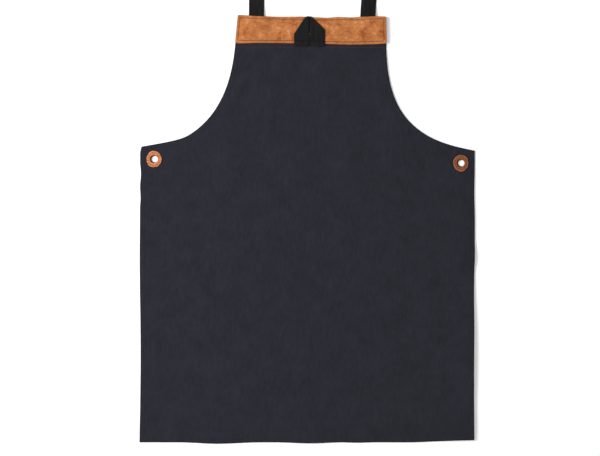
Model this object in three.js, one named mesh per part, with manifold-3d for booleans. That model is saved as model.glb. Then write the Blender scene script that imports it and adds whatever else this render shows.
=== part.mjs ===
// Work apron with a suede band across its bib, lying flat with its front up.
// Lengths are millimetres. X runs across the apron, Y from the hem towards the neck and Z up from
// the surface that it lies on. The origin is on that surface, under the middle of the panel.
import * as THREE from "three";
import { mergeVertices } from "three/addons/utils/BufferGeometryUtils.js";
import Module from "manifold-3d";

const wasm = await Module();
wasm.setup();

// Canvas panel, as cut and hemmed
const PANEL_LENGTH = 850; // hem to the top edge of the bib
const PANEL_WIDTH = 669; // across the skirt
const SIDE_HEIGHT = 587; // hem to the underarm corners
const BIB_TOP_WIDTH = 295; // across the bib at its top edge
const BIB_BASE_WIDTH = 303; // across the bib at the lower edge of the facing
const FACING_DEPTH = 62; // canvas folded under behind the band, measured down from the top edge
const CANVAS_THICKNESS = 1.0;
const HEM_WIDTH = 10;
const HEM_THICKNESS = 2.2; // canvas folded under twice
const HEM_EASE = 42; // distance in which the canvas comes down from the hem's height to the surface

// Suede band
const BAND_HEIGHT = 53;
const SUEDE_THICKNESS = 1.4;
const BAND_OVERHANG = 0.6; // suede past the canvas at each end and along the top

// Black webbing, and the neck loop made of it
const STRAP_WIDTH = 30.5;
const STRAP_THICKNESS = 1.6;
const STRAP_INSET = 20.9; // from the bib's top corners to the strap's outer edges
const STRAP_SHIFT = 0.6; // both ends sit this far to the right of the bib's centre line
const STRAP_LENGTH = 600; // the loop from one end to the other, without the tucked ends
const STRAP_TUCK = 40; // length of each end that lies between the band and the canvas
const STRAP_FLAT_RUN = 50; // how far each end lies flat before it starts to turn on edge
const STRAP_TWIST_RUN = 115; // length of each quarter turn
const STRAP_DROP_RUN = 28; // length in which it comes down from the bib to the surface
const STRAP_SPREAD = 5; // how much further apart the two runs are at the arch than at the band

// Hanging loop, folded from the same webbing
const LOOP_LENGTH = 59.5; // sewn edge to the point
const LOOP_SHIFT = -4.8; // from the bib's centre line
const LOOP_SLIT = 0.8; // between its two strands
const LOOP_PRESS = 0.2; // how far the folded layers press into each other
const LOOP_RAMP = 16; // length in which a strand climbs from the band onto the folded layer

// Eyelets at the underarm corners
const RING_WIDTH = 31;
const RING_LENGTH = 34;
const RING_BORE = 15.6;
const RING_THICKNESS = 1.8;
const CANVAS_HOLE = 13;
const HOLE_SHIFT = 1; // the canvas hole sits this far to the right of the ring's centre
const EYELET_INSET = 28; // ring centre from the side edge
const EYELET_DROP = 25; // ring centre below the underarm corner

// How this apron lies
const CLEARANCE = 0.3; // between pieces that lie on each other
const BIB_LEAN = 9; // the bib's top edge lies this far to the right of the centre line
const LEAN_BEND = 1.35; // 1 would be a straight lean from the underarm up, more is a bent one
const UNDERARM_TILT = 8; // the left underarm corner lies this much higher than the right one
const EDGE_WANDER = 2; // size of the small waves along the edges
const FOLD_HEIGHT = 2; // height of the soft ridges in the canvas

// Fineness of the faceted surfaces
const CELLS_ACROSS = 24;
const CELLS_SIDE = 21;
const CELLS_UNDERARM = 5;
const CELLS_ARMHOLE = 9;
const HEM_STEP = 0.6; // run of the step at the hem's inner edge
const STRAP_STATION = 10; // spacing of the sections along the neck loop
const ROUND_SIDES = 24;

const halfWidth = PANEL_WIDTH / 2;
const hemY = -PANEL_LENGTH / 2;
const topY = PANEL_LENGTH / 2;
const facingY = topY - FACING_DEPTH;
const hemLift = HEM_THICKNESS - CANVAS_THICKNESS;
const strapLow = HEM_THICKNESS + CLEARANCE;
const strapRise = STRAP_THICKNESS + CLEARANCE;
const bandTop = strapLow + SUEDE_THICKNESS;
const ringRadius = Math.max(RING_WIDTH, RING_LENGTH) / 2;
const strapSpacing = BIB_TOP_WIDTH - STRAP_WIDTH - 2 * STRAP_INSET;

// The two armholes as control points of two cubic curves each, from the bib down to the underarm
// corner: shares of the armhole's reach across and of its drop
const ARMHOLES = new Map([
  [-1, [
    { across: 0.0, down: 0.0 },
    { across: 0.045, down: 0.424 },
    { across: 0.207, down: 0.711 },
    { across: 0.482, down: 0.876 },
    { across: 0.585, down: 0.938 },
    { across: 0.761, down: 0.958 },
    { across: 1.0, down: 1.0 },
  ]],
  [1, [
    { across: 0.0, down: 0.0 },
    { across: 0.009, down: 0.416 },
    { across: 0.138, down: 0.63 },
    { across: 0.326, down: 0.769 },
    { across: 0.511, down: 0.905 },
    { across: 0.712, down: 0.951 },
    { across: 1.0, down: 1.0 },
  ]],
]);

// Waves of the side edges: place and spread as shares of the side's height, out as a share of
// EDGE_WANDER and counted outwards
const SIDE_WAVES = [
  { side: -1, at: 0.63, out: 0.4, spread: 0.2 },
  { side: -1, at: 0.0, out: 0.6, spread: 0.12 },
  { side: -1, at: 0.3, out: -0.5, spread: 0.22 },
  { side: 1, at: 0.71, out: 0.8, spread: 0.12 },
  { side: 1, at: 0.52, out: -0.6, spread: 0.15 },
  { side: 1, at: 0.34, out: 0.5, spread: 0.14 },
];

// Waves of the hem: place and spread as shares of the panel's half width, rise as a share of
// EDGE_WANDER
const HEM_WAVES = [
  { at: -0.53, rise: -1.2, spread: 0.24 },
  { at: 0.0, rise: -0.8, spread: 0.2 },
  { at: 0.3, rise: -0.4, spread: 0.1 },
  { at: 1.08, rise: 2.5, spread: 0.5 },
];

// The band's long edges, from its left end to its right end: rises as shares of EDGE_WANDER
const BAND_EDGE = [
  { across: -1.0, top: 2.1, bottom: 0.0 },
  { across: -0.75, top: 0.7, bottom: 0.6 },
  { across: -0.4, top: 0.2, bottom: 0.4 },
  { across: -0.15, top: 0.4, bottom: 0.1 },
  { across: 0.2, top: -0.9, bottom: -0.4 },
  { across: 0.35, top: 0.1, bottom: -0.8 },
  { across: 0.52, top: -0.5, bottom: -1.2 },
  { across: 0.85, top: 0.6, bottom: -0.7 },
  { across: 1.0, top: 0.3, bottom: -0.2 },
];

// Soft ridges of the canvas: x is a share of the half width, y, long and wide are shares of the
// length counted from the panel's middle, turn is in degrees clockwise from the Y axis and height
// is a share of FOLD_HEIGHT
const FOLDS = [
  { name: "right of centre", x: 0.25, y: 0.185, long: 0.15, wide: 0.05, turn: -4, height: 0.9 },
  { name: "centre, upper", x: -0.05, y: 0.15, long: 0.09, wide: 0.042, turn: 3, height: 0.6 },
  { name: "centre, lower", x: -0.06, y: -0.13, long: 0.11, wide: 0.045, turn: 0, height: 0.6 },
  { name: "left shoulder", x: -0.46, y: 0.16, long: 0.12, wide: 0.05, turn: 6, height: 0.8 },
  { name: "right shoulder", x: 0.55, y: 0.15, long: 0.1, wide: 0.05, turn: -8, height: 0.8 },
  { name: "left waist crease", x: -0.8, y: -0.07, long: 0.1, wide: 0.04, turn: 88, height: 0.7 },
  { name: "right waist pucker", x: 0.97, y: -0.065, long: 0.09, wide: 0.04, turn: 80, height: 1.4 },
  { name: "left side pucker", x: -0.98, y: 0.05, long: 0.08, wide: 0.04, turn: 62, height: 0.9 },
  { name: "right side curl", x: 1.0, y: -0.3, long: 0.24, wide: 0.07, turn: 0, height: 2.4 },
  { name: "hem ripple, left", x: -0.55, y: -0.5, long: 0.09, wide: 0.05, turn: 0, height: 1.1 },
  { name: "hem ripple, middle", x: 0.05, y: -0.5, long: 0.08, wide: 0.06, turn: 0, height: 1.0 },
  { name: "hem corner, right", x: 0.95, y: -0.48, long: 0.08, wide: 0.09, turn: 40, height: 1.2 },
];

// The hanging loop's outline: across is a share of its half width, up a share of its length
const LOOP_OUTLINE = {
  leftShoulder: { across: -1.0, up: 0.41 },
  leftPoint: { across: -0.26, up: 1.0 },
  rightPoint: { across: 0.1, up: 1.0 },
  rightShoulder: { across: 1.0, up: 0.57 },
};

const { lerp } = THREE.MathUtils;

// Smooth step from 0 to 1 while t goes from 0 to 1.
function ease(t) {
  return THREE.MathUtils.smoothstep(t, 0, 1);
}

// Smooth hump: 1 at t = 0, and exactly 0 from t = 1 on, on both sides.
function hump(t) {
  return Math.abs(t) < 1 ? (1 - t * t) ** 2 : 0;
}

// Straight-line look-up in a table sorted by its column "across".
function along(table, across, column) {
  const next = table.findIndex((row) => row.across >= across);
  if (next === -1) return table.at(-1)[column];
  if (next === 0) return table[0][column];
  const a = table[next - 1];
  const b = table[next];
  return lerp(a[column], b[column], (across - a.across) / (b.across - a.across));
}

// Centre line of the bib at height y: it leans over towards the top.
function bibCentre(y) {
  const share = (y - hemY - SIDE_HEIGHT) / (PANEL_LENGTH - SIDE_HEIGHT);
  return BIB_LEAN * Math.max(share, 0) ** LEAN_BEND;
}

function cornerY(side) {
  return hemY + SIDE_HEIGHT - side * UNDERARM_TILT / 2;
}

function sideWave(side, y) {
  let out = 0;
  for (const wave of SIDE_WAVES) {
    if (wave.side === side) {
      out += wave.out * EDGE_WANDER * hump(((y - hemY) / SIDE_HEIGHT - wave.at) / wave.spread);
    }
  }
  return side * out;
}

function hemWave(x) {
  let rise = 0;
  for (const wave of HEM_WAVES) {
    rise += wave.rise * EDGE_WANDER * hump((x / halfWidth - wave.at) / wave.spread);
  }
  return rise;
}

// Height of the soft ridges above the surface. The stitching of the rings holds the canvas flat.
function foldHeight(x, y) {
  let height = 0;
  for (const fold of FOLDS) {
    const turn = THREE.MathUtils.degToRad(fold.turn);
    const dx = x - fold.x * halfWidth;
    const dy = y - fold.y * PANEL_LENGTH;
    const lengthwise = (dx * Math.sin(turn) + dy * Math.cos(turn)) / (fold.long * PANEL_LENGTH);
    const crosswise = (dx * Math.cos(turn) - dy * Math.sin(turn)) / (fold.wide * PANEL_LENGTH);
    height += fold.height * FOLD_HEIGHT * hump(lengthwise) * hump(crosswise);
  }
  return height * (1 - heldByRing(x, y));
}

function eyeletCentre(side) {
  return new THREE.Vector2(side * (halfWidth - EYELET_INSET), cornerY(side) - EYELET_DROP);
}

// 1 under the rings, going down to 0 away from them.
function heldByRing(x, y) {
  const away = [-1, 1].map((side) => Math.hypot(x - eyeletCentre(side).x, y - eyeletCentre(side).y));
  return 1 - ease((Math.min(...away) - ringRadius) / HEM_EASE);
}

// One side of the panel from the hem to the bib's top edge, as stations that both sides share.
function sideStations(side) {
  const foot = new THREE.Vector2(side * halfWidth, hemY);
  const corner = new THREE.Vector2(side * halfWidth, cornerY(side));
  const base = new THREE.Vector2(bibCentre(facingY) + side * BIB_BASE_WIDTH / 2, facingY);
  const top = new THREE.Vector2(bibCentre(topY) + side * BIB_TOP_WIDTH / 2, topY);
  const controls = ARMHOLES.get(side).map((row) => new THREE.Vector2(
    lerp(base.x, corner.x, row.across),
    lerp(base.y, corner.y, row.down),
  ));
  const aboveHem = foot.clone().setY(hemY + HEM_WIDTH);
  const fieldFoot = foot.clone().setY(hemY + HEM_WIDTH + HEM_STEP);
  const upper = new THREE.CubicBezierCurve(controls[3], controls[2], controls[1], base);
  const belowBase = base.clone().addScaledVector(upper.getTangent(1), -HEM_STEP);
  const stations = [
    foot,
    aboveHem,
    ...new THREE.LineCurve(fieldFoot, corner).getSpacedPoints(CELLS_SIDE).slice(0, -1),
    ...new THREE.CubicBezierCurve(corner, controls[5], controls[4], controls[3])
      .getSpacedPoints(CELLS_UNDERARM).slice(0, -1),
    ...upper.getSpacedPoints(CELLS_ARMHOLE).slice(0, -1),
    belowBase,
    base,
    new THREE.Vector2().lerpVectors(base, top, 0.5),
    top,
  ];
  for (const point of stations) {
    if (point.y <= corner.y) point.x += sideWave(side, point.y);
  }
  return stations;
}

// The same side moved inwards by a distance, square to its own edge. The stations at the hem and
// at the facing are moved straight across.
function insetStations(stations, side, distance) {
  const last = stations.length - 1;
  return stations.map((point, k) => {
    if (k < 3 || k > last - 4) return new THREE.Vector2(point.x - side * distance, point.y);
    const before = point.clone().sub(stations[k - 1]).normalize();
    const after = stations[k + 1].clone().sub(point).normalize();
    const heading = before.clone().add(after).normalize();
    const mitre = distance / heading.dot(after);
    return new THREE.Vector2(point.x - side * heading.y * mitre, point.y + side * heading.x * mitre);
  });
}

function distanceToLine(x, y, points) {
  let nearest = Infinity;
  for (let k = 1; k < points.length; k++) {
    const a = points[k - 1];
    const b = points[k];
    const run = b.clone().sub(a);
    const t = THREE.MathUtils.clamp(((x - a.x) * run.x + (y - a.y) * run.y) / run.lengthSq(), 0, 1);
    nearest = Math.min(nearest, Math.hypot(x - a.x - t * run.x, y - a.y - t * run.y));
  }
  return nearest;
}

// How far the single canvas hangs above the surface because the hem or a ring's stitching holds it.
function liftBesideHem(x, y, sides) {
  const fromHem = Math.min(
    distanceToLine(x, y, sides[0]) - HEM_WIDTH,
    distanceToLine(x, y, sides[1]) - HEM_WIDTH,
    y - hemY - HEM_WIDTH,
    facingY - y,
  );
  return hemLift * Math.max(1 - ease(fromHem / HEM_EASE), heldByRing(x, y));
}

// The panel as rows from the hem to the top, each a line of points across with the height of the
// cloth's underside and top. Two strips along each edge hold the hem and the step beside it.
function panelGrid() {
  const sides = [-1, 1].map(sideStations);
  const rowCount = sides[0].length;
  const facingRow = rowCount - 3;
  const columns = [-1, 1].map((side, k) => [
    sides[k],
    insetStations(sides[k], side, HEM_WIDTH),
    insetStations(sides[k], side, HEM_WIDTH + HEM_STEP),
  ]);
  const fieldFootY = hemY + HEM_WIDTH + HEM_STEP;
  const fieldTopY = facingY - HEM_STEP;
  const grid = [];
  for (let r = 0; r < rowCount; r++) {
    const [left, right] = columns.map((strips) => strips.map((strip) => strip[r]));
    const share = (r - 2) / (facingRow - 3);
    const inField = share > 0 && share < 1;
    const middleY = inField ? lerp(fieldFootY, fieldTopY, share) : left[2].y;
    const bow = inField ? middleY - (left[2].y + right[2].y) / 2 : 0;
    const row = [left[0], left[1]];
    for (let c = 0; c <= CELLS_ACROSS; c++) {
      const u = c / CELLS_ACROSS;
      const point = new THREE.Vector2().lerpVectors(left[2], right[2], u);
      point.y += bow * 4 * u * (1 - u);
      row.push(point);
    }
    row.push(right[1], right[0]);
    grid.push(row.map(({ x, y }, c) => {
      const hemmed = r < 2 || r >= facingRow || c < 2 || c > CELLS_ACROSS + 2;
      const folds = foldHeight(x, y);
      const under = folds + (hemmed ? 0 : liftBesideHem(x, y, sides));
      const over = hemmed ? folds + HEM_THICKNESS : under + CANVAS_THICKNESS;
      return { x, y: y + edgeShift(x, y), low: under, high: over };
    }));
  }
  return grid;
}

// The waves of the hem and of the bib's top edge die out away from these edges.
function edgeShift(x, y) {
  const nearHem = 1 - ease((y - hemY) / (PANEL_LENGTH / 12));
  const nearTop = ease((y - facingY) / FACING_DEPTH);
  const topWave = along(BAND_EDGE, bibAcross(x), "top") * EDGE_WANDER;
  return hemWave(x) * nearHem + (topWave - BAND_OVERHANG) * nearTop;
}

// X as a share of the bib's half width at its top.
function bibAcross(x) {
  return (x - bibCentre(topY)) / (BIB_TOP_WIDTH / 2);
}

// A closed sheet from rows of points that hold x, y and the heights low and high.
function sheetSolid(grid) {
  const rows = grid.length;
  const cols = grid[0].length;
  const positions = [];
  for (const layer of ["high", "low"]) {
    for (const point of grid.flat()) positions.push(point.x, point.y, point[layer]);
  }
  const top = (r, c) => r * cols + c;
  const under = (r, c) => rows * cols + r * cols + c;
  const index = [];
  const quad = (a, b, c, d) => index.push(a, b, c, a, c, d);
  for (let r = 0; r < rows - 1; r++) {
    for (let c = 0; c < cols - 1; c++) {
      quad(top(r, c), top(r, c + 1), top(r + 1, c + 1), top(r + 1, c));
      quad(under(r, c), under(r + 1, c), under(r + 1, c + 1), under(r, c + 1));
    }
    quad(under(r + 1, 0), under(r, 0), top(r, 0), top(r + 1, 0));
    quad(under(r, cols - 1), under(r + 1, cols - 1), top(r + 1, cols - 1), top(r, cols - 1));
  }
  for (let c = 0; c < cols - 1; c++) {
    quad(under(0, c), under(0, c + 1), top(0, c + 1), top(0, c));
    quad(under(rows - 1, c + 1), under(rows - 1, c), top(rows - 1, c), top(rows - 1, c + 1));
  }
  const geometry = new THREE.BufferGeometry();
  geometry.setAttribute("position", new THREE.Float32BufferAttribute(positions, 3));
  geometry.setIndex(index);
  return geometry;
}

// A closed geometry as a solid that can be joined and cut.
function toManifold(geometry) {
  const bare = geometry.clone();
  bare.deleteAttribute("normal");
  bare.deleteAttribute("uv");
  const merged = mergeVertices(bare);
  return new wasm.Manifold(new wasm.Mesh({
    numProp: 3,
    vertProperties: new Float32Array(merged.attributes.position.array),
    triVerts: new Uint32Array(merged.index.array),
  }));
}

function toGeometry(solid) {
  const mesh = solid.getMesh();
  const geometry = new THREE.BufferGeometry();
  geometry.setAttribute("position", new THREE.Float32BufferAttribute(mesh.vertProperties, mesh.numProp));
  geometry.setIndex([...mesh.triVerts]);
  return geometry;
}

function canvasPanel() {
  let panel = toManifold(sheetSolid(panelGrid()));
  for (const side of [-1, 1]) {
    const centre = eyeletCentre(side);
    const drill = new THREE.CylinderGeometry(CANVAS_HOLE / 2, CANVAS_HOLE / 2, 8 * HEM_THICKNESS, ROUND_SIDES);
    drill.rotateX(Math.PI / 2);
    drill.translate(centre.x + HOLE_SHIFT, centre.y, HEM_THICKNESS);
    panel = panel.subtract(toManifold(drill));
  }
  return toGeometry(panel);
}

function strapX(side) {
  return bibCentre(topY) + STRAP_SHIFT + side * strapSpacing / 2;
}

// Values from the first stop to the last, with a given number of even cells between neighbours.
function spread(stops, cells) {
  const values = [stops[0]];
  cells.forEach((count, k) => {
    for (let n = 1; n <= count; n++) values.push(lerp(stops[k], stops[k + 1], n / count));
  });
  return values;
}

// The suede lies on the facing and rises over the two strap ends tucked under it.
function suedeBand() {
  const ramp = 4 * STRAP_THICKNESS;
  const shelf = STRAP_WIDTH / 2 + 2 * CLEARANCE;
  const endBelow = STRAP_TUCK + 2 * EDGE_WANDER;
  const offsets = [-shelf - ramp, -shelf, shelf, shelf + ramp];
  const strapStops = [-1, 1].flatMap((side) => offsets.map((offset) => strapX(side) + offset));
  const xCells = [2, 1, 3, 1, 12, 1, 3, 1, 2];
  const downs = spread([BAND_HEIGHT, endBelow + ramp, endBelow, 0], [1, 1, 4]);
  return sheetSolid(downs.map((down) => {
    const y = topY - down;
    const nearEnd = 1 - ease((down - endBelow) / ramp);
    return spread([bandEnd(-1, y), ...strapStops, bandEnd(1, y)], xCells).map((x) => {
      const fromStrap = Math.min(Math.abs(x - strapX(-1)), Math.abs(x - strapX(1)));
      const low = strapLow + strapRise * (1 - ease((fromStrap - shelf) / ramp)) * nearEnd;
      const share = down / BAND_HEIGHT;
      const across = bibAcross(x);
      const wave = lerp(along(BAND_EDGE, across, "top"), along(BAND_EDGE, across, "bottom"), share);
      return { x, y: y + wave * EDGE_WANDER, low, high: low + SUEDE_THICKNESS };
    });
  }));
}

// X of the band's left or right end at height y.
function bandEnd(side, y) {
  const share = (y - facingY) / FACING_DEPTH;
  const baseEnd = bibCentre(facingY) + side * BIB_BASE_WIDTH / 2;
  const topEnd = bibCentre(topY) + side * BIB_TOP_WIDTH / 2;
  return lerp(baseEnd, topEnd, share) + side * BAND_OVERHANG;
}

// The neck loop: flat where it leaves the bib, a quarter turn on each run, and on edge round the
// arch with its outer edge on the surface.
function neckStrap() {
  const radius = (strapSpacing + STRAP_SPREAD) / 2;
  const run = (STRAP_LENGTH - Math.PI * radius) / 2;
  const arch = new THREE.Vector2(strapX(-1) + radius, topY + run);
  const at = (x, y) => new THREE.Vector2(x, y);
  const path = new THREE.CurvePath();
  path.add(new THREE.LineCurve(at(strapX(-1), topY - STRAP_TUCK), at(strapX(-1), arch.y)));
  path.add(new THREE.EllipseCurve(arch.x, arch.y, radius, radius, Math.PI, 0, true));
  path.add(new THREE.CubicBezierCurve(
    at(arch.x + radius, arch.y),
    at(arch.x + radius, topY + run / 2),
    at(strapX(1), topY + run / 8),
    at(strapX(1), topY),
  ));
  path.add(new THREE.LineCurve(at(strapX(1), topY), at(strapX(1), topY - STRAP_TUCK)));
  const length = path.getLength();
  const count = Math.ceil(length / STRAP_STATION);
  const points = path.getSpacedPoints(count);
  const half = STRAP_WIDTH / 2;
  const thin = STRAP_THICKNESS / 2;
  const section = [
    [half, 0], [half - thin, thin], [thin - half, thin],
    [-half, 0], [thin - half, -thin], [half - thin, -thin],
  ];
  const positions = [];
  points.forEach((point, k) => {
    const heading = points[Math.min(k + 1, count)].clone().sub(points[Math.max(k - 1, 0)]).normalize();
    const s = length * k / count;
    const free = Math.min(s, length - s) - STRAP_TUCK;
    const turn = Math.PI / 2 * ease((free - STRAP_FLAT_RUN) / STRAP_TWIST_RUN);
    const lying = half * Math.sin(turn) + thin * Math.cos(turn);
    const z = lerp(strapLow + thin, lying, ease((free - EDGE_WANDER) / STRAP_DROP_RUN));
    for (const [w, t] of section) {
      const out = w * Math.cos(turn) + t * Math.sin(turn);
      positions.push(point.x - heading.y * out, point.y + heading.x * out);
      positions.push(z - w * Math.sin(turn) + t * Math.cos(turn));
    }
  });
  return loftedSolid(positions, section.length, false);
}

// A solid through sections of "sides" points each. It runs round in a ring, or has flat ends.
function loftedSolid(positions, sides, ring) {
  const sections = positions.length / 3 / sides;
  const last = (sections - 1) * sides;
  const index = [];
  for (let k = 0; k < (ring ? sections : sections - 1); k++) {
    const here = k * sides;
    const next = (k + 1) % sections * sides;
    for (let j = 0; j < sides; j++) {
      const beside = (j + 1) % sides;
      index.push(here + j, here + beside, next + beside, here + j, next + beside, next + j);
    }
  }
  if (!ring) {
    for (let j = 1; j < sides - 1; j++) index.push(0, j + 1, j, last, last + j, last + j + 1);
  }
  const geometry = new THREE.BufferGeometry();
  geometry.setAttribute("position", new THREE.Float32BufferAttribute(positions, 3));
  geometry.setIndex(index);
  return geometry;
}

// One length of webbing folded over twice to a point: two strands side by side in front, and the
// folded layer behind them above the shoulders.
function hangLoop() {
  const halfLoop = STRAP_WIDTH + LOOP_SLIT / 2;
  const centreX = bibCentre(topY) + LOOP_SHIFT;
  const footY = topY - LOOP_LENGTH;
  const place = ({ across, up }) => new THREE.Vector2(centreX + across * halfLoop, footY + up * LOOP_LENGTH);
  const { leftShoulder, leftPoint, rightPoint, rightShoulder } = LOOP_OUTLINE;
  const foldedLow = bandTop + CLEARANCE;
  const folded = new THREE.ExtrudeGeometry(
    new THREE.Shape([leftShoulder, rightShoulder, rightPoint, leftPoint].map(place)),
    { depth: STRAP_THICKNESS, bevelEnabled: false },
  );
  folded.translate(0, 0, foldedLow);
  const outline = [leftShoulder, leftPoint, rightPoint, rightShoulder];
  const shoulderUp = Math.min(leftShoulder.up, rightShoulder.up);
  const strand = (from, to) => {
    const inside = outline.map((row) => row.across).filter((across) => across > from && across < to);
    return sheetSolid(spread([0, 1], [8]).map((share) => [from, ...inside, to].map((across) => {
      const up = share * along(outline, across, "up");
      const { x, y } = place({ across, up });
      const climb = ease(1 - (shoulderUp - up) * LOOP_LENGTH / LOOP_RAMP);
      const low = foldedLow + (STRAP_THICKNESS - LOOP_PRESS) * climb;
      return { x, y, low, high: low + STRAP_THICKNESS };
    })));
  };
  const slit = LOOP_SLIT / 2 / halfLoop;
  const loop = toManifold(folded)
    .add(toManifold(strand(-1, -slit)))
    .add(toManifold(strand(slit, 1)));
  return toGeometry(loop);
}

// A leather washer, oval outside and round inside, with rounded edges.
function eyeletRing(side) {
  const centre = eyeletCentre(side);
  const bore = RING_BORE / 2;
  const round = RING_THICKNESS / 3;
  const roundShare = round / (ringRadius - bore);
  const profile = [
    { out: 0, z: round },
    { out: 0, z: RING_THICKNESS - round },
    { out: roundShare, z: RING_THICKNESS },
    { out: 1 - roundShare, z: RING_THICKNESS },
    { out: 1, z: RING_THICKNESS - round },
    { out: 1, z: round },
    { out: 1 - roundShare, z: 0 },
    { out: roundShare, z: 0 },
  ];
  const positions = [];
  for (let k = 0; k < ROUND_SIDES; k++) {
    const angle = 2 * Math.PI * k / ROUND_SIDES;
    for (const { out, z } of profile) {
      positions.push(centre.x + lerp(bore, RING_WIDTH / 2, out) * Math.cos(angle));
      positions.push(centre.y + lerp(bore, RING_LENGTH / 2, out) * Math.sin(angle));
      positions.push(strapLow + z);
    }
  }
  return loftedSolid(positions, profile.length, true);
}

const canvas = new THREE.MeshStandardMaterial({ color: 0x2e2f36, roughness: 0.9, metalness: 0 });
const suede = new THREE.MeshStandardMaterial({ color: 0xbf7846, roughness: 0.95, metalness: 0 });
const webbing = new THREE.MeshStandardMaterial({ color: 0x201f1f, roughness: 0.8, metalness: 0 });
const leather = new THREE.MeshStandardMaterial({ color: 0xb8683c, roughness: 0.8, metalness: 0 });

const apron = new THREE.Group();
function addPiece(name, geometry, material) {
  const mesh = new THREE.Mesh(geometry, material);
  mesh.name = name;
  apron.add(mesh);
}

addPiece("canvas_panel", canvasPanel(), canvas);
addPiece("suede_band", suedeBand(), suede);
addPiece("neck_strap", neckStrap(), webbing);
addPiece("hang_loop", hangLoop(), webbing);
addPiece("eyelet_ring_left", eyeletRing(-1), leather);
addPiece("eyelet_ring_right", eyeletRing(1), leather);

export default apron;
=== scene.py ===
import math
from collections import namedtuple

import bpy
import numpy as np
from bpy.props import FloatProperty, FloatVectorProperty, IntProperty, PointerProperty
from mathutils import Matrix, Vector


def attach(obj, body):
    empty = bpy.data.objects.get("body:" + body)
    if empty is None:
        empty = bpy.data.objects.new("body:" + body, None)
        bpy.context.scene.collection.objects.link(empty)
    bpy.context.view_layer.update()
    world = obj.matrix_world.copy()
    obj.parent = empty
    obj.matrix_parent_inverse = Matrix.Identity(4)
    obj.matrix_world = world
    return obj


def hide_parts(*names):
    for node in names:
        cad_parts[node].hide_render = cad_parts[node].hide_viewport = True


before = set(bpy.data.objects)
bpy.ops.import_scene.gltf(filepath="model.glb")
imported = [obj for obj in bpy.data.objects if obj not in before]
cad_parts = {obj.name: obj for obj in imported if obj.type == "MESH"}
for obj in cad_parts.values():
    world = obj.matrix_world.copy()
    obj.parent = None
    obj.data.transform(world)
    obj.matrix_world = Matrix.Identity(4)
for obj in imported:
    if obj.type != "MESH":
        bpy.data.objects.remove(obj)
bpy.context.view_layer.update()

bl_info = {
    "name": "Canvas work apron",
    "version": (1, 0, 0),
    "blender": (4, 5, 0),
    "location": "3D View > Sidebar > Apron",
    "description": "Builds a canvas apron with a suede band, lying flat on a pale floor",
    "category": "Add Mesh",
}

BODY = "root"

# The two armholes as control points of two cubic curves each, from the bib down to the underarm
# corner: shares of the armhole's reach across and of its drop
Control = namedtuple("Control", "across down")
ARMHOLES = {
    -1: [
        Control(0.0, 0.0), Control(0.045, 0.424), Control(0.207, 0.711), Control(0.482, 0.876),
        Control(0.585, 0.938), Control(0.761, 0.958), Control(1.0, 1.0),
    ],
    1: [
        Control(0.0, 0.0), Control(0.009, 0.416), Control(0.138, 0.63), Control(0.326, 0.769),
        Control(0.511, 0.905), Control(0.712, 0.951), Control(1.0, 1.0),
    ],
}

# Waves of the side edges: place and spread as shares of the side's height, out as a share of the
# edge wander and counted outwards
SideWave = namedtuple("SideWave", "side at out spread")
SIDE_WAVES = [
    SideWave(-1, 1.01, -1.3, 0.024), SideWave(-1, 0.915, -0.8, 0.04), SideWave(-1, 0.83, -0.45, 0.035),
    SideWave(-1, 0.63, 0.4, 0.2), SideWave(-1, 0.0, 0.6, 0.12), SideWave(-1, 0.3, -0.5, 0.22),
    SideWave(1, 0.85, -0.5, 0.09), SideWave(1, 0.52, -0.6, 0.15), SideWave(1, 0.2, -1.0, 0.45),
]

# Waves of the hem: place and spread as shares of the half width, rise as a share of the wander
HemWave = namedtuple("HemWave", "at rise spread")
HEM_WAVES = [
    HemWave(-0.53, -1.2, 0.24), HemWave(0.0, -0.8, 0.2), HemWave(0.3, -0.4, 0.1), HemWave(1.08, 2.5, 0.5),
]

# The band's long edges from its left end to its right end: rises as shares of the edge wander
BandEdge = namedtuple("BandEdge", "across top bottom")
BAND_EDGE = [
    BandEdge(-1.0, 2.1, 0.0), BandEdge(-0.75, 0.7, 0.6), BandEdge(-0.4, 0.2, 0.4),
    BandEdge(-0.15, 0.4, 0.1), BandEdge(0.2, -0.9, -0.4), BandEdge(0.35, 0.1, -0.8),
    BandEdge(0.52, -0.5, -1.2), BandEdge(0.85, 0.6, -0.7), BandEdge(1.0, 0.3, -0.2),
]

# Soft ridges of the canvas: x is a share of the half width and y of the length, both from the
# panel's middle. Long and wide are shares of the length too, turn is in degrees clockwise from
# the Y axis and height is a share of the fold height.
Fold = namedtuple("Fold", "x y long wide turn height")
FOLDS = [
    Fold(0.25, 0.185, 0.15, 0.05, -4, 0.9),  # right of centre
    Fold(-0.05, 0.15, 0.09, 0.042, 3, 0.6),  # centre, upper
    Fold(-0.06, -0.13, 0.11, 0.045, 0, 0.6),  # centre, lower
    Fold(-0.46, 0.16, 0.12, 0.05, 6, 0.8),  # left shoulder
    Fold(0.55, 0.15, 0.1, 0.05, -8, 0.8),  # right shoulder
    Fold(-0.8, -0.07, 0.1, 0.04, 88, 0.7),  # left waist crease
    Fold(0.97, -0.065, 0.09, 0.04, 80, 1.4),  # right waist pucker
    Fold(-0.98, 0.05, 0.08, 0.04, 62, 0.9),  # left side pucker
    Fold(1.0, -0.3, 0.24, 0.07, 0, 2.4),  # right side curl
    Fold(-0.55, -0.5, 0.09, 0.05, 0, 1.1),  # hem ripple, left
    Fold(0.05, -0.5, 0.08, 0.06, 0, 1.0),  # hem ripple, middle
    Fold(0.95, -0.48, 0.08, 0.09, 40, 1.2),  # hem corner, right
]

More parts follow.
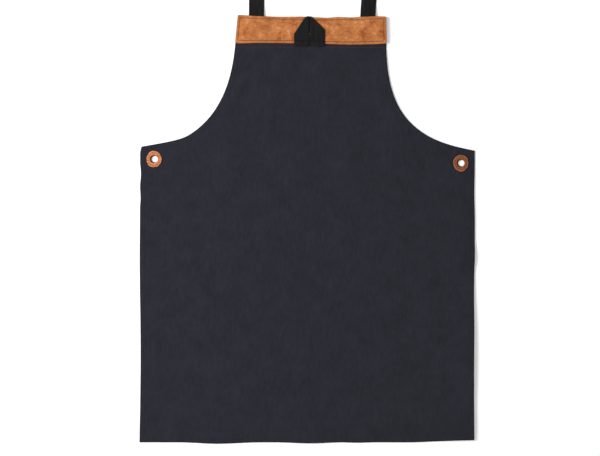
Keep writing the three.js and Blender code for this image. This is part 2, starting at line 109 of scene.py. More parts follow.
# Sharper small creases of the same form, with heights as shares of the crease height
CREASES = [
    Fold(-0.72, -0.071, 0.075, 0.008, 86, 1.0),  # across the left waist
    Fold(0.93, -0.072, 0.035, 0.009, 78, 1.0),  # at the right waist
    Fold(-0.95, -0.018, 0.03, 0.01, 60, 0.9),  # at the left edge
    Fold(0.0, 0.408, 0.045, 0.007, 84, 1.1),  # under the hanging loop
    Fold(-0.41, 0.335, 0.035, 0.016, 12, 1.0),  # at the left armhole
    Fold(0.42, 0.33, 0.04, 0.014, -14, 0.8),  # at the right armhole
    Fold(-0.22, 0.27, 0.09, 0.014, 5, 0.6),  # down the bib, left
    Fold(0.12, 0.25, 0.1, 0.012, -3, 0.5),  # down the bib, right
]

# Length in metres in which the creases fade out below the facing
CREASE_FADE = 0.02

# Patches of the suede's nap: over and down are shares of the band's width and height, reach is in
# metres, and tone is above 0 where the nap is brushed light
NapPatch = namedtuple("NapPatch", "over down reach tone")
NAP_PATCHES = [
    NapPatch(0.077, 0.24, 0.010, 1.0), NapPatch(0.243, 0.24, 0.012, 1.0),
    NapPatch(0.168, 0.67, 0.012, 0.7), NapPatch(0.614, 0.38, 0.010, 0.6),
    NapPatch(0.84, 0.31, 0.009, 0.8), NapPatch(0.907, 0.43, 0.012, 0.8),
    NapPatch(0.765, 0.79, 0.016, 0.4), NapPatch(0.758, 0.48, 0.014, -0.7),
    NapPatch(0.856, 0.66, 0.020, -1.0), NapPatch(0.97, 0.75, 0.012, -0.8),
    NapPatch(0.062, 0.62, 0.012, -0.7), NapPatch(0.304, 0.79, 0.014, -0.6),
]

# Trimmed corners of the band: radius in metres, at the left or right and at the top or bottom
BandCorner = namedtuple("BandCorner", "side end radius")
BAND_CORNERS = [
    BandCorner("left", "bottom", 0.006), BandCorner("left", "top", 0.003),
    BandCorner("right", "bottom", 0.0035), BandCorner("right", "top", 0.003),
]

# Where the band lifts, dips along its seam and swells: amounts and reaches in metres
Shift = namedtuple("Shift", "amount reach")
LOWER_LEFT_LIFT = Shift(0.0022, 0.016)
UPPER_LEFT_LIFT = Shift(0.0018, 0.014)
RIGHT_LIFT = Shift(0.0026, 0.024)
SEAM_DIP = Shift(0.0004, 0.0022)
BAND_SWELL = Shift(0.00035, 0.012)

# Lengths in metres in which the band climbs beside a strap end and comes down below it, and the
# radius of its cut edges
STRAP_RAMP = 0.017
TUCK_RAMP = 0.012
CUT_RADIUS = 0.0005

# The neck strap's flat ends tilt a little from side to side: the height of this at their edges,
# and the distance past the band in which it starts
STRAP_TILT = Shift(0.0004, 0.03)

# The hanging loop in metres: its seam above the sewn end, how it is pressed, droops, gapes, flares
# and ripples, where its slit starts to open, its ragged cut ends and its end behind the point
LOOP_SEAM_RISE = 0.0125
LOOP_SEAM = Shift(0.00045, 0.003)
LOOP_DROOP = Shift(0.0011, 0.009)
LOOP_GAPE = Shift(0.0006, 0.005)
LOOP_FLARE = Shift(0.0002, 0.012)
LOOP_RIPPLE = Shift(0.0004, 0.01)
SLIT_OPENS_AT = 0.021
SLIT_OPENS_IN = 0.005
RAGGED_END = 0.0016
FOLDED_TAIL = 0.004

# The same: shares of its length at which it gapes and starts to climb, and of the webbing's thickness
GAPE_PLACE = 0.46
SHOULDER = 0.41
WEBBING_PRESSED = 0.85

# The band's seam turns its corners with these radii in metres
SeamCorner = namedtuple("SeamCorner", "x_way y_way radius")
SEAM_CORNERS = [
    SeamCorner(1, 1, 0.002), SeamCorner(-1, 1, 0.002), SeamCorner(-1, -1, 0.002), SeamCorner(1, -1, 0.005),
]

# The other sewn rows in metres: pitches, the facing's row above its edge, its wander, and how far
# it stops short of the bib's edges and of the loop
FACING_STITCH = 0.0054
LOOP_STITCH = 0.0030
FACING_ROW_RISE = 0.0016
FACING_ROW_WANDER = 0.0006
FACING_ROW_GAP = 0.002

# The loop's two rows: rise in metres from its seam, start and end as shares of its half width
LoopRow = namedtuple("LoopRow", "rise start end")
LOOP_ROWS = [LoopRow(0.0, -0.96, 0.96), LoopRow(-0.002, -0.94, 0.95)]

# Stitches that fit round a ring, and seams as shares of the ring's wall and of the hem's width
RING_STITCHES = 16.2
RING_SEAM = 0.6
HEM_SEAM = 0.9

# The leather rings: the share of their size to which they are trimmed, and the section as shares
# of the way out from the bore and of the thickness
RING_TRIM = 0.965
RingPoint = namedtuple("RingPoint", "out level")
RING_SECTION = [
    RingPoint(0.0, 0.3), RingPoint(0.0, 0.7), RingPoint(0.06, 0.94), RingPoint(0.2, 1.0),
    RingPoint(0.4, 1.0), RingPoint(0.52, 0.96), RingPoint(0.6, 0.88), RingPoint(0.68, 0.96),
    RingPoint(0.8, 1.0), RingPoint(0.92, 0.96), RingPoint(0.985, 0.86), RingPoint(1.0, 0.6),
    RingPoint(1.0, 0.3), RingPoint(0.97, 0.02), RingPoint(0.5, 0.0), RingPoint(0.05, 0.06),
]

# Pitches in metres: the canvas's twill and weft, the webbing's cords and picks, the thread's plies
TWILL_PITCH = 0.0011
WEFT_PITCH = 0.0007
CORD_PITCH = 0.0011
PICK_PITCH = 0.0014
PLY_PITCH = 0.0006

# Painted shade along the canvas's folded edges, which turn away from the light: where it ends and is full,
# in metres, and its colour
FOLD_SHADE = (0.0022, 0.0004)
FOLD_SHADE_COLOUR = (0.006, 0.006, 0.008)

# The stage in metres and watts, the strength of its surround and, in millimetres, the camera's film
Lamp = namedtuple("Lamp", "name place size power")
LAMPS = [Lamp("key", (-2.3, 0.35, 1.9), 1.1, 92.0), Lamp("fill", (0.1, 0.0, 3.6), 3.4, 48.0)]
SURROUND = 0.42
FLOOR_REACH = 4
FLOOR_DROP = 0.0002
CAMERA_PLACE = (-0.0149, 0.0034, 3.0)
PICTURE_WIDTH = 1.2
FILM_WIDTH = 36

# More than any distance from an edge
FAR = 1.0

# The hanging loop's outline: across is a share of its half width, up a share of its length
LoopPoint = namedtuple("LoopPoint", "across up")
LOOP_OUTLINE = {
    -1: [LoopPoint(0.0, 1.0), LoopPoint(0.13, 1.0), LoopPoint(0.26, 0.97), LoopPoint(1.0, 0.39)],
    1: [LoopPoint(0.0, 1.0), LoopPoint(0.1, 0.99), LoopPoint(1.0, 0.53)],
}


def length(name, description, default):
    """A size in metres with its name and description."""
    return FloatProperty(
        name=name, description=description, default=default, min=0, unit="LENGTH", precision=4
    )


def colour(name, description, default):
    """A linear colour with its name and description."""
    return FloatVectorProperty(
        name=name, description=description, default=default, min=0, max=1, subtype="COLOR"
    )


class ApronSizes(bpy.types.PropertyGroup):
    """Sizes of the apron: those of its solids, of its creases and of its stitches."""

    panel_length: length("Panel length", "Hem to the top edge of the bib", 0.85)
    panel_width: length("Panel width", "Across the skirt", 0.669)
    side_height: length("Side height", "Hem to the underarm corners", 0.587)
    bib_top_width: length("Bib top width", "Across the bib at its top edge", 0.295)
    bib_base_width: length("Bib base width", "Across the bib at the facing's edge", 0.303)
    facing_depth: length("Facing depth", "Canvas folded under behind the band", 0.062)
    canvas_thickness: length("Canvas thickness", "Single canvas", 0.001)
    hem_width: length("Hem width", "Width of the folded hem", 0.01)
    hem_thickness: length("Hem thickness", "Canvas folded under twice", 0.0022)
    hem_ease: length("Hem ease", "Distance in which the canvas comes down from the hem", 0.042)
    band_height: length("Band height", "Height of the suede band", 0.053)
    suede_thickness: length("Suede thickness", "Thickness of the band", 0.0014)
    band_overhang: length("Band overhang", "Suede past the canvas", 0.0006)
    strap_width: length("Strap width", "Width of the webbing", 0.0305)
    strap_thickness: length("Strap thickness", "Thickness of the webbing", 0.0016)
    strap_inset: length("Strap inset", "Bib corner to the strap's outer edge", 0.0209)
    strap_shift: length("Strap shift", "Both strap ends to the right of the centre", 0.0006)
    strap_length: length("Strap length", "The loop without its tucked ends", 0.6)
    strap_tuck: length("Strap tuck", "Length of each end under the band", 0.04)
    strap_flat_run: length("Strap flat run", "Length that lies flat at each end", 0.05)
    strap_twist_run: length("Strap twist run", "Length of each quarter turn", 0.115)
    strap_drop_run: length("Strap drop run", "Length in which it comes down to the floor", 0.028)
    strap_spread: length("Strap spread", "Added width of the arch", 0.005)
    loop_length: length("Loop length", "Sewn edge to the point", 0.0595)
    loop_shift: length("Loop shift", "Hanging loop to the left of the centre", 0.0048)
    loop_slit: length("Loop slit", "Between its two strands", 0.0008)
    loop_ramp: length("Loop ramp", "Length in which a strand climbs", 0.016)
    ring_width: length("Ring width", "Width of an eyelet ring", 0.031)
    ring_length: length("Ring length", "Length of an eyelet ring", 0.034)
    ring_bore: length("Ring bore", "Hole in the leather", 0.0156)
    ring_thickness: length("Ring thickness", "Thickness of the leather", 0.0018)
    canvas_hole: length("Canvas hole", "Hole in the canvas", 0.013)
    hole_shift: length("Hole shift", "Canvas hole to the right of the ring", 0.001)
    eyelet_inset: length("Eyelet inset", "Ring centre from the side edge", 0.028)
    eyelet_drop: length("Eyelet drop", "Ring centre below the corner", 0.025)
    clearance: length("Clearance", "Between pieces that lie on each other", 0.0003)
    bib_lean: length("Bib lean", "How far the bib's top lies to the right", 0.009)
    underarm_tilt: length("Underarm tilt", "Left corner above the right one", 0.008)
    edge_wander: length("Edge wander", "Size of the waves along the edges", 0.002)
    fold_height: length("Fold height", "Height of the soft ridges", 0.002)
    crease_height: length("Crease height", "Height of the small creases", 0.0013)
    stitch_pitch: length("Stitch pitch", "From stitch to stitch", 0.0034)
    thread: length("Thread", "Diameter of the sewing thread", 0.0009)
    seam_inset: length("Seam inset", "Stitches from the edge of the suede", 0.005)
    lean_bend: FloatProperty(
        name="Lean bend", description="1 is a straight lean of the bib, more is bent", default=1.35
    )


class ApronColours(bpy.types.PropertyGroup):
    """Colours of the apron's finishes, in linear light."""

    canvas: colour("Canvas", "Body of the canvas", (0.0226, 0.0228, 0.0314))
    canvas_dark: colour("Canvas shade", "Between its threads", (0.0137, 0.0138, 0.0188))
    suede: colour("Suede", "Middle tone of the nap", (0.40, 0.142, 0.045))
    suede_light: colour("Suede, brushed", "Nap lying towards the light", (0.56, 0.24, 0.098))
    suede_dark: colour("Suede, rubbed", "Nap lying away from the light", (0.255, 0.072, 0.020))
    webbing: colour("Webbing", "Face of the webbing", (0.0135, 0.0130, 0.0130))
    webbing_dark: colour("Webbing shade", "Between its ribs", (0.0055, 0.0052, 0.0052))
    leather: colour("Leather", "Left eyelet ring", (0.64, 0.225, 0.100))
    leather_brown: colour("Brown leather", "Right eyelet ring", (0.175, 0.045, 0.012))
    leather_rim: colour("Leather rim", "Worn rim of the right ring", (0.36, 0.150, 0.078))
    thread: colour("Thread", "Stitches on the suede", (0.036, 0.008, 0.006))
    thread_orange: colour("Orange thread", "Stitches along the facing", (0.15, 0.045, 0.022))
    floor: colour("Floor", "The pale floor", (0.93, 0.93, 0.93))


class ApronDetail(bpy.types.PropertyGroup):
    """How finely the surfaces are divided."""

    field_cells: IntProperty(name="Field cells", description="Across the canvas", default=168)
    side_cells: IntProperty(name="Side cells", description="Along a side edge", default=126)
    armhole_cells: IntProperty(name="Armhole cells", description="Along an armhole", default=84)
    facing_cells: IntProperty(name="Facing cells", description="Up the facing", default=18)
    band_cells: IntProperty(name="Band cells", description="Along the suede band", default=290)
    band_rows: IntProperty(name="Band rows", description="Down the suede band", default=52)
    hole_sides: IntProperty(name="Hole sides", description="Round an eyelet hole", default=64)
    ring_sides: IntProperty(name="Ring sides", description="Round an eyelet ring", default=120)


def ease(t):
    """Smooth step: 3t² - 2t³ of t held between 0 and 1."""
    t = np.clip(t, 0, 1)
    return t * t * (3 - 2 * t)


def hump(t):
    """(1 - t²)² between -1 and 1, and 0 outside."""
    return np.where(np.abs(t) < 1, (1 - t * t) ** 2, 0.0)


def lerp(a, b, t):
    """Straight-line mix of a and b."""
    return a + (b - a) * t


def cubic(controls, t):
    """A cubic Bezier curve of four control points at the parameters t."""
    t = t[:, None]
    a, b, c, d = controls
    return (1 - t) ** 3 * a + 3 * (1 - t) ** 2 * t * b + 3 * (1 - t) * t**2 * c + t**3 * d


def headings(points):
    """Unit directions along a line of points."""
    step = np.gradient(points, axis=0)
    return step / np.linalg.norm(step, axis=-1, keepdims=True)


def running_length(points):
    """Length along a line of points up to each of them."""
    return np.concatenate([[0], np.cumsum(np.linalg.norm(np.diff(points, axis=0), axis=-1))])


def points_at(points, places):
    """The points that lie at the given lengths along a line of points."""
    run = running_length(points)
    return np.column_stack([np.interp(places, run, column) for column in points.T])


def evenly(points, cells):
    """The same line with its length cut into even cells."""
    return points_at(points, np.linspace(0, running_length(points)[-1], cells + 1))


class Cut:
    """The canvas as it is cut and as it lies, worked out from the sizes."""

    def __init__(self, sizes, detail):
        self.sizes = sizes
        self.detail = detail
        self.half = sizes.panel_width / 2
        self.hem_y = -sizes.panel_length / 2
        self.top_y = sizes.panel_length / 2
        self.facing_y = self.top_y - sizes.facing_depth
        self.band_low = sizes.hem_thickness + sizes.clearance
        self.band_top = self.band_low + sizes.suede_thickness
        edge = sizes.hem_thickness / 2
        self.rim = edge * (1 - np.cos(np.radians([0, 35, 62, 90])))
        self.hem_steps = np.concatenate([self.rim, sizes.hem_width * np.array([0.4, 0.7, 1, 1.06])])

    def bib_centre(self, y):
        """Centre line of the bib: it leans over by a power of the height above the underarm."""
        rise = (y - self.hem_y - self.sizes.side_height) / (self.sizes.panel_length - self.sizes.side_height)
        return self.sizes.bib_lean * np.maximum(rise, 0) ** self.sizes.lean_bend

    def bib_across(self, x):
        """X as a share of the bib's half width at its top."""
        return (x - self.bib_centre(self.top_y)) / (self.sizes.bib_top_width / 2)

    def corner_y(self, side):
        return self.hem_y + self.sizes.side_height - side * self.sizes.underarm_tilt / 2

    def eyelet(self, side):
        """Centre of an eyelet ring."""
        x = side * (self.half - self.sizes.eyelet_inset)
        return np.array([x, self.corner_y(side) - self.sizes.eyelet_drop])

    def bib_edge(self, side, y):
        """X of the bib's edge, straight from the facing's edge to the top."""
        share = (y - self.facing_y) / self.sizes.facing_depth
        base = self.bib_centre(self.facing_y) + side * self.sizes.bib_base_width / 2
        top = self.bib_centre(self.top_y) + side * self.sizes.bib_top_width / 2
        return lerp(base, top, share)

    def side_wave(self, side, y):
        """Sum of humps along a side edge."""
        height = (y - self.hem_y) / self.sizes.side_height
        waves = [w for w in SIDE_WAVES if w.side == side]
        return side * self.sizes.edge_wander * sum(w.out * hump((height - w.at) / w.spread) for w in waves)

    def edge_shift(self, x, y):
        """Rise of the hem and of the bib's top edge, which dies out away from these edges."""
        wander = self.sizes.edge_wander
        hem = wander * sum(w.rise * hump((x / self.half - w.at) / w.spread) for w in HEM_WAVES)
        near_hem = 1 - ease((y - self.hem_y) / (self.sizes.panel_length / 12))
        near_top = ease((y - self.facing_y) / self.sizes.facing_depth)
        return hem * near_hem + (self.band_wave(x, "top") - self.sizes.band_overhang) * near_top

    def band_wave(self, x, edge):
        """Straight-line look-up of one of the band's long edges."""
        places = [row.across for row in BAND_EDGE]
        rises = [getattr(row, edge) for row in BAND_EDGE]
        return self.sizes.edge_wander * np.interp(self.bib_across(x), places, rises)

    def armhole(self, side, inset):
        """An armhole from the underarm corner to the bib: two cubic curves, each point moved
        square to them by the inset, begun where this meets the side edge's own inset."""
        base = np.array([self.bib_edge(side, self.facing_y), self.facing_y])
        level = self.corner_y(side)
        corner = np.array([side * self.half + self.side_wave(side, level), level])
        controls = base + (corner - base) * np.array(ARMHOLES[side])
        t = np.linspace(0, 1, 200)
        line = np.vstack([cubic(controls[6:2:-1], t), cubic(controls[3::-1], t)[1:]])
        along = headings(line)
        line = line + inset * side * np.column_stack([-along[:, 1], along[:, 0]])
        start = np.interp(inset - side * corner[0], -side * line[:, 0], np.arange(len(line)))
        index = np.linspace(start, len(line) - 1, 400)
        line = np.column_stack([np.interp(index, np.arange(len(line)), column) for column in line.T])
        line = evenly(line, self.detail.armhole_cells)
        end = base - [side * inset, 0]
        return line + (end - line[-1]) * np.linspace(0, 1, len(line))[:, None] ** 4

    def side_line(self, side, inset):
        """One edge of the panel from the hem to the top, moved inwards by the inset."""
        arm = self.armhole(side, inset)
        foot = self.hem_y + self.hem_steps
        y = np.concatenate([foot, np.linspace(foot[-1], arm[0, 1], self.detail.side_cells + 1)[1:]])
        outer_y = lerp(self.hem_y, self.corner_y(side), (y - self.hem_y) / (arm[0, 1] - self.hem_y))
        straight = np.column_stack([side * (self.half - inset) + self.side_wave(side, outer_y), y])
        facing = np.concatenate([
            np.linspace(self.facing_y, self.top_y - self.rim[-1], self.detail.facing_cells + 1)[1:],
            self.top_y - self.rim[-2::-1],
        ])
        bib = np.column_stack([self.bib_edge(side, facing) - side * inset, facing])
        return np.vstack([straight, arm[1:], bib])

    def held_by_ring(self, x, y):
        """1 under the rings, going down to 0 away from them."""
        radius = max(self.sizes.ring_width, self.sizes.ring_length) / 2
        away = np.minimum(*(np.hypot(x - cx, y - cy) for cx, cy in (self.eyelet(-1), self.eyelet(1))))
        return 1 - ease((away - radius) / self.sizes.hem_ease)

    def ridges(self, table, x, y):
        """Sum of long humps: one hump along each ridge times one across it."""
        total = 0
        for fold in table:
            turn = math.radians(fold.turn)
            dx = x - fold.x * self.half
            dy = y - fold.y * self.sizes.panel_length
            lengthwise = (dx * math.sin(turn) + dy * math.cos(turn)) / (fold.long * self.sizes.panel_length)
            crosswise = (dx * math.cos(turn) - dy * math.sin(turn)) / (fold.wide * self.sizes.panel_length)
            total = total + fold.height * hump(lengthwise) * hump(crosswise)
        return total

    def unevenness(self, x, y):
        """Shallow swells of cloth that was folded away: eight sine waves with seeded directions,
        mostly across the apron, between 0 and 1."""
        chance = np.random.default_rng(11)
        total = 0
        for _ in range(8):
            across = 2 * math.pi / chance.uniform(0.05, 0.16)
            lengthwise = 2 * math.pi / chance.uniform(0.16, 0.6) * chance.choice([-1, 1])
            total = total + np.sin(across * x + lengthwise * y + chance.uniform(0, 6.28))
        return 0.5 + total / 16

    def rest_height(self, x, y):
        """Height of the canvas above the floor: ridges, creases and swells. The rings hold all
        of them flat, and the facing holds the creases and swells flat too."""
        free = 1 - self.held_by_ring(x, y)
        loose = free * ease((self.facing_y - y) / CREASE_FADE)
        small = self.sizes.crease_height * (
            self.ridges(CREASES, x, y) + 0.9 * self.unevenness(x, y)
        )
        return self.sizes.fold_height * free * self.ridges(FOLDS, x, y) + small * loose

    def on_hem(self, line):
        """A line across the hem or facing, laid on its upper face."""
        x, y = line.T
        height = self.rest_height(x, y) + self.sizes.hem_thickness
        return np.column_stack([x, y + self.edge_shift(x, y), height])


def from_edges(x, y, lines):
    """Distance from each grid point to the nearest of some lines of points."""
    nearest = np.full(x.shape, np.inf)
    for line in lines:
        a = line[:-1]
        run = np.diff(line, axis=0)
        dx = x[..., None] - a[:, 0]
        dy = y[..., None] - a[:, 1]
        t = np.clip((dx * run[:, 0] + dy * run[:, 1]) / (run**2).sum(1), 0, 1)
        away = np.hypot(dx - t * run[:, 0], dy - t * run[:, 1]).min(-1)
        nearest = np.minimum(nearest, away)
    return nearest


def point_field(mesh, name, values):
    """A number for each point of a mesh, for its finish to read."""
    field = mesh.attributes.new(name, "FLOAT", "POINT")
    field.data.foreach_set("value", np.asarray(values, np.float32).ravel())


def new_piece(name, points, faces, uv=None, edge=None):
    """An object at the origin from arrays of points and of quads, with smooth shading."""
    points = np.asarray(points, float).reshape(-1, 3)
    faces = np.asarray(faces).reshape(-1, 4)
    mesh = bpy.data.meshes.new(name)
    mesh.vertices.add(len(points))
    mesh.vertices.foreach_set("co", points.astype(np.float32).ravel())
    mesh.loops.add(faces.size)
    mesh.loops.foreach_set("vertex_index", faces.astype(np.int32).ravel())
    mesh.polygons.add(len(faces))
    mesh.polygons.foreach_set("loop_start", np.arange(0, faces.size, 4, dtype=np.int32))
    mesh.polygons.foreach_set("use_smooth", np.ones(len(faces), bool))
    mesh.update(calc_edges=True)
    if uv is not None:
        layer = mesh.uv_layers.new(name="cloth")
        layer.data.foreach_set("uv", np.asarray(uv, np.float32).reshape(-1, 2)[faces.ravel()].ravel())
    if edge is not None:
        point_field(mesh, "edge", edge)
    if mesh.validate():
        raise ValueError(f"{name} has faces that Blender had to repair")
    piece = bpy.data.objects.new(name, mesh)
    bpy.context.scene.collection.objects.link(piece)
    return piece


def quads(index):
    """Quads between neighbours in a table of point numbers, counterclockwise with rows upwards."""
    return np.stack([index[:-1, :-1], index[:-1, 1:], index[1:, 1:], index[1:, :-1]], -1).reshape(-1, 4)


def closed_sheet(x, y, low, high):
    """A sheet from tables of x, y and the heights of both faces, closed by a wall round it."""
    index = np.arange(x.size).reshape(x.shape)
    ring = np.concatenate([index[0, :-1], index[:-1, -1], index[-1, :0:-1], index[:0:-1, 0]])
    beside = np.roll(ring, -1)
    wall = np.stack([ring + x.size, beside + x.size, beside, ring], -1)
    faces = np.vstack([quads(index), quads(index)[:, ::-1] + x.size, wall])
    return np.concatenate([np.stack([x, y, z], -1).reshape(-1, 3) for z in (high, low)]), faces


def tube_faces(sections, sides, ring=False):
    """Quads round a tube of even-sided sections. It closes on itself or ends in flat caps."""
    index = np.arange(sections * sides).reshape(sections, sides)
    around = np.column_stack([index, index[:, 0]])
    if ring:
        around = np.vstack([around, around[0]])
        return quads(around)
    k = np.arange(1, sides // 2)
    cap = np.stack([k, k + 1, sides - k, (sides - k + 1) % sides], -1)
    return np.vstack([quads(around), cap[:, ::-1], cap + (sections - 1) * sides])


def ribbon(middle, thickness):
    """Webbing round a middle surface of rows along and columns across: each point is moved along
    the surface's normal by half the thickness times the 16th-power arch of its place across.
    The UV map holds metres across and along."""
    rows, cols = middle.shape[:2]
    along = np.gradient(middle, axis=0)
    across = np.gradient(middle, axis=1)
    normal = np.cross(across, along)
    normal /= np.linalg.norm(normal, axis=-1, keepdims=True)
    run = running_length(middle[0])
    arch = np.sqrt(1 - np.abs(2 * run / run[-1] - 1) ** 16)[None, :, None]
    offset = normal * thickness / 2 * arch
    section = np.concatenate([middle + offset, (middle - offset)[:, -2:0:-1]], axis=1)
    around = np.concatenate([run, run[-2:0:-1]])
    uv = np.stack(np.meshgrid(around, running_length(middle[:, cols // 2])), -1)
    return section.reshape(-1, 3), tube_faces(rows, section.shape[1]), uv.reshape(-1, 2)


def stitches_along(line, sizes, pitch, fill=0.7, wander=0.0):
    """A row of threads along a line that lies on the cloth, at an even pitch and with a little
    seeded wander sideways. Each is a six-sided tube, thinner at both ends, whose ends dip into
    the cloth by the fourth power of the way along it."""
    total = running_length(line)[-1]
    count = max(int(total / pitch), 1)
    places = (np.arange(count) + 0.5) * total / count
    reach = fill * pitch / 2
    ahead = points_at(line, places + reach)
    behind = points_at(line, places - reach)
    heading = (ahead - behind) / np.linalg.norm(ahead - behind, axis=1, keepdims=True)
    left = np.cross([0, 0, 1], heading)
    left /= np.linalg.norm(left, axis=1, keepdims=True)
    up = np.cross(heading, left)
    centre = (ahead + behind) / 2 + left * np.random.default_rng(count).normal(0, wander, (count, 1))
    t = np.linspace(-1, 1, 7)[:, None]
    around = np.radians(np.arange(0, 360, 60))
    thick = sizes.thread / 2 * np.sqrt(1 - (0.86 * t) ** 4)
    lengthwise = t * reach + 0 * around
    sideways = thick * np.cos(around)
    upwards = thick * np.sin(around) + sizes.thread * (0.25 - t**4)
    parts = zip((lengthwise, sideways, upwards), (heading, left, up))
    points = centre[:, None, None] + sum(amount[..., None] * way[:, None, None] for amount, way in parts)
    sides = t.size * around.size
    faces = tube_faces(t.size, around.size)[None] + (np.arange(count) * sides)[:, None, None]
    return points.reshape(-1, 3), faces.reshape(-1, 4)


def join_parts(parts):
    """Several sets of points, quads and, if any, UV places as one."""
    points, faces, *places = zip(*parts)
    starts = np.cumsum([0] + [len(some) for some in points[:-1]])
    faces = [some + start for some, start in zip(faces, starts)]
    return [np.vstack(some) for some in (points, faces, *places)]


class Value:
    """A shader socket. Arithmetic on it adds Math nodes to its material."""

    def __init__(self, finish, socket):
        self.finish = finish
        self.socket = socket

    def maths(self, operation, *others):
        sockets = dict(enumerate((self, *others)))
        return self.finish.node("ShaderNodeMath", sockets, operation=operation)

    def __add__(self, other):
        return self.maths("ADD", other)

    __radd__ = __add__

    def __sub__(self, other):
        return self.maths("SUBTRACT", other)

    def __rsub__(self, other):
        return self.finish.node("ShaderNodeMath", {0: other, 1: self}, operation="SUBTRACT")

    def __mul__(self, other):
        return self.maths("MULTIPLY", other)

    __rmul__ = __mul__

    def sine(self):
        return self.maths("SINE")

    def absolute(self):
        return self.maths("ABSOLUTE")

    def between(self, low, high):
        """0 below low, 1 above high and a smooth step between them."""
        return self.finish.node(
            "ShaderNodeMapRange", {"Value": self, "From Min": low, "From Max": high},
            interpolation_type="SMOOTHSTEP",
        )


class Finish:
    """One material, whose nodes are added in code."""

    def __init__(self, name, constants):
        self.material = bpy.data.materials.new(name)
        self.material.use_nodes = True
        self.tree = self.material.node_tree
        self.shader = self.tree.nodes["Principled BSDF"]
        for key, value in constants.items():
            self.shader.inputs[key].default_value = value

    def node(self, kind, sockets=None, output=0, **settings):
        """Adds a node: first its settings, then a value or link for each socket, which is named
        by its number, name or identifier. Returns one of its outputs."""
        node = self.tree.nodes.new(kind)
        for key, value in settings.items():
            setattr(node, key, value)
        for key, value in (sockets or {}).items():
            self.feed(node, key, value)
        return Value(self, self.find(node.outputs, output))

    @staticmethod
    def find(sockets, key):
        if isinstance(key, int):
            return sockets[key]
        for socket in sockets:
            if key in (socket.identifier, socket.name) and socket.enabled:
                return socket
        raise KeyError(key)

    def feed(self, node, key, value):
        socket = self.find(node.inputs, key)
        if isinstance(value, Value):
            self.tree.links.new(value.socket, socket)
        else:
            socket.default_value = value

    def coordinates(self):
        return self.node("ShaderNodeTexCoord", output="Object")

    def axes(self, vector):
        """X, Y and Z of a vector."""
        node = self.node("ShaderNodeSeparateXYZ", {"Vector": vector}).socket.node
        return [Value(self, socket) for socket in node.outputs]

    def stretched(self, vector, x, y, z=1.0):
        return self.node("ShaderNodeVectorMath", {0: vector, 1: (x, y, z)}, operation="MULTIPLY")

    def noise(self, vector, scale, detail=3.0, roughness=0.5, distortion=0.0):
        return self.node(
            "ShaderNodeTexNoise",
            {"Vector": vector, "Scale": scale, "Detail": detail, "Roughness": roughness,
             "Distortion": distortion},
        )

    def mix(self, factor, a, b):
        """Two colours mixed by a factor."""
        return self.node(
            "ShaderNodeMix",
            {"Factor_Float": factor, "A_Color": self.opaque(a), "B_Color": self.opaque(b)},
            output="Result_Color", data_type="RGBA", clamp_factor=True,
        )

    @staticmethod
    def opaque(value):
        return value if isinstance(value, Value) else (*value[:3], 1.0)

    def attribute(self, name):
        return self.node("ShaderNodeAttribute", output="Fac", attribute_name=name)

    def bump(self, height, strength, distance, below=None):
        sockets = {"Height": height, "Strength": strength, "Distance": distance}
        if below is not None:
            sockets["Normal"] = below
        return self.node("ShaderNodeBump", sockets, output="Normal")

    def finish_with(self, **sockets):
        """Feeds the surface shader: keys are its socket names with _ for a space."""
        for key, value in sockets.items():
            self.feed(self.shader, key.replace("_", " ").title(), value)
        return self.material


def canvas_finish(colours):
    """Dark twill: diagonal ribs of fine threads, streaks along the warp, a soft mottle from wear
    and painted shade along the folded edges, where they turn away from the light."""
    finish = Finish("canvas twill", {"Roughness": 0.9, "Specular IOR Level": 0.06})
    place = finish.coordinates()
    x, y, _ = finish.axes(place)
    streaks = finish.noise(finish.stretched(place, 1.0, 0.06), 900, detail=2)
    slubs = finish.noise(finish.stretched(place, 1.0, 0.4), 210, detail=3)
    cloud = finish.noise(place, 24, detail=5, roughness=0.65)
    twill = ((x + y * 0.55) * (2 * math.pi / TWILL_PITCH)).sine()
    weft = (y * (2 * math.pi / WEFT_PITCH)).sine()
    edge = finish.attribute("edge")
    tone = 0.5 + (streaks - 0.5) * 0.8 + (slubs - 0.5) * 0.9 + (cloud - 0.5) * 1.2 + twill * 0.1
    tint = finish.mix(tone, colours.canvas_dark, colours.canvas)
    # Painted shade: the folded edges are darkened where they turn away from the light
    tint = finish.mix(edge.between(*FOLD_SHADE), tint, FOLD_SHADE_COLOUR)
    weave = finish.bump(twill * 0.6 + weft * 0.25 + streaks * 0.8, 0.5, 0.00012)
    rough = finish.bump(slubs + cloud, 0.35, 0.0006, below=weave)
    return finish.finish_with(base_color=tint, normal=rough)


def suede_finish(colours, seam_inset):
    """Short nap: brushed and rubbed patches of several sizes over a fine fibre grain, painted shade
    in the stitched channel's groove over the dark of its thread holes, and darker along the cut edges."""
    finish = Finish("tan suede", {
        "Specular IOR Level": 0.08, "Sheen Weight": 0.04, "Sheen Roughness": 0.5,
        "Sheen Tint": (1.0, 0.72, 0.5, 1),
    })
    place = finish.coordinates()
    patches = finish.noise(place, 62, detail=3, roughness=0.55, distortion=0.6)
    brushed = finish.noise(finish.stretched(place, 0.8, 1.2), 190, detail=4, roughness=0.65)
    fibres = finish.noise(place, 1500, detail=3, roughness=0.7)
    edge = finish.attribute("edge")
    wide = finish.noise(place, 21, detail=2)
    tone = patches * 0.9 + brushed * 0.8 + fibres * 0.5 + (wide - 0.5) * 0.4
    tone = tone + finish.attribute("nap") * 0.16
    tint = finish.mix(tone.between(0.82, 1.12), colours.suede_dark, colours.suede)
    tint = finish.mix(tone.between(1.12, 1.42), tint, colours.suede_light)
    # Painted shade of the seam's groove, with the dark of its thread holes, in the stitched channel
    channel = (edge - seam_inset).absolute().between(0.0017, 0.0004)
    tint = finish.mix(channel * 0.4, tint, colours.suede_dark)
    tint = finish.mix(edge.between(0.0016, 0.0002) * 0.5, tint, colours.suede_dark)
    nap = finish.bump(fibres + brushed * 0.7, 0.6, 0.0004)
    return finish.finish_with(base_color=tint, normal=nap, roughness=0.86 + fibres * 0.12)


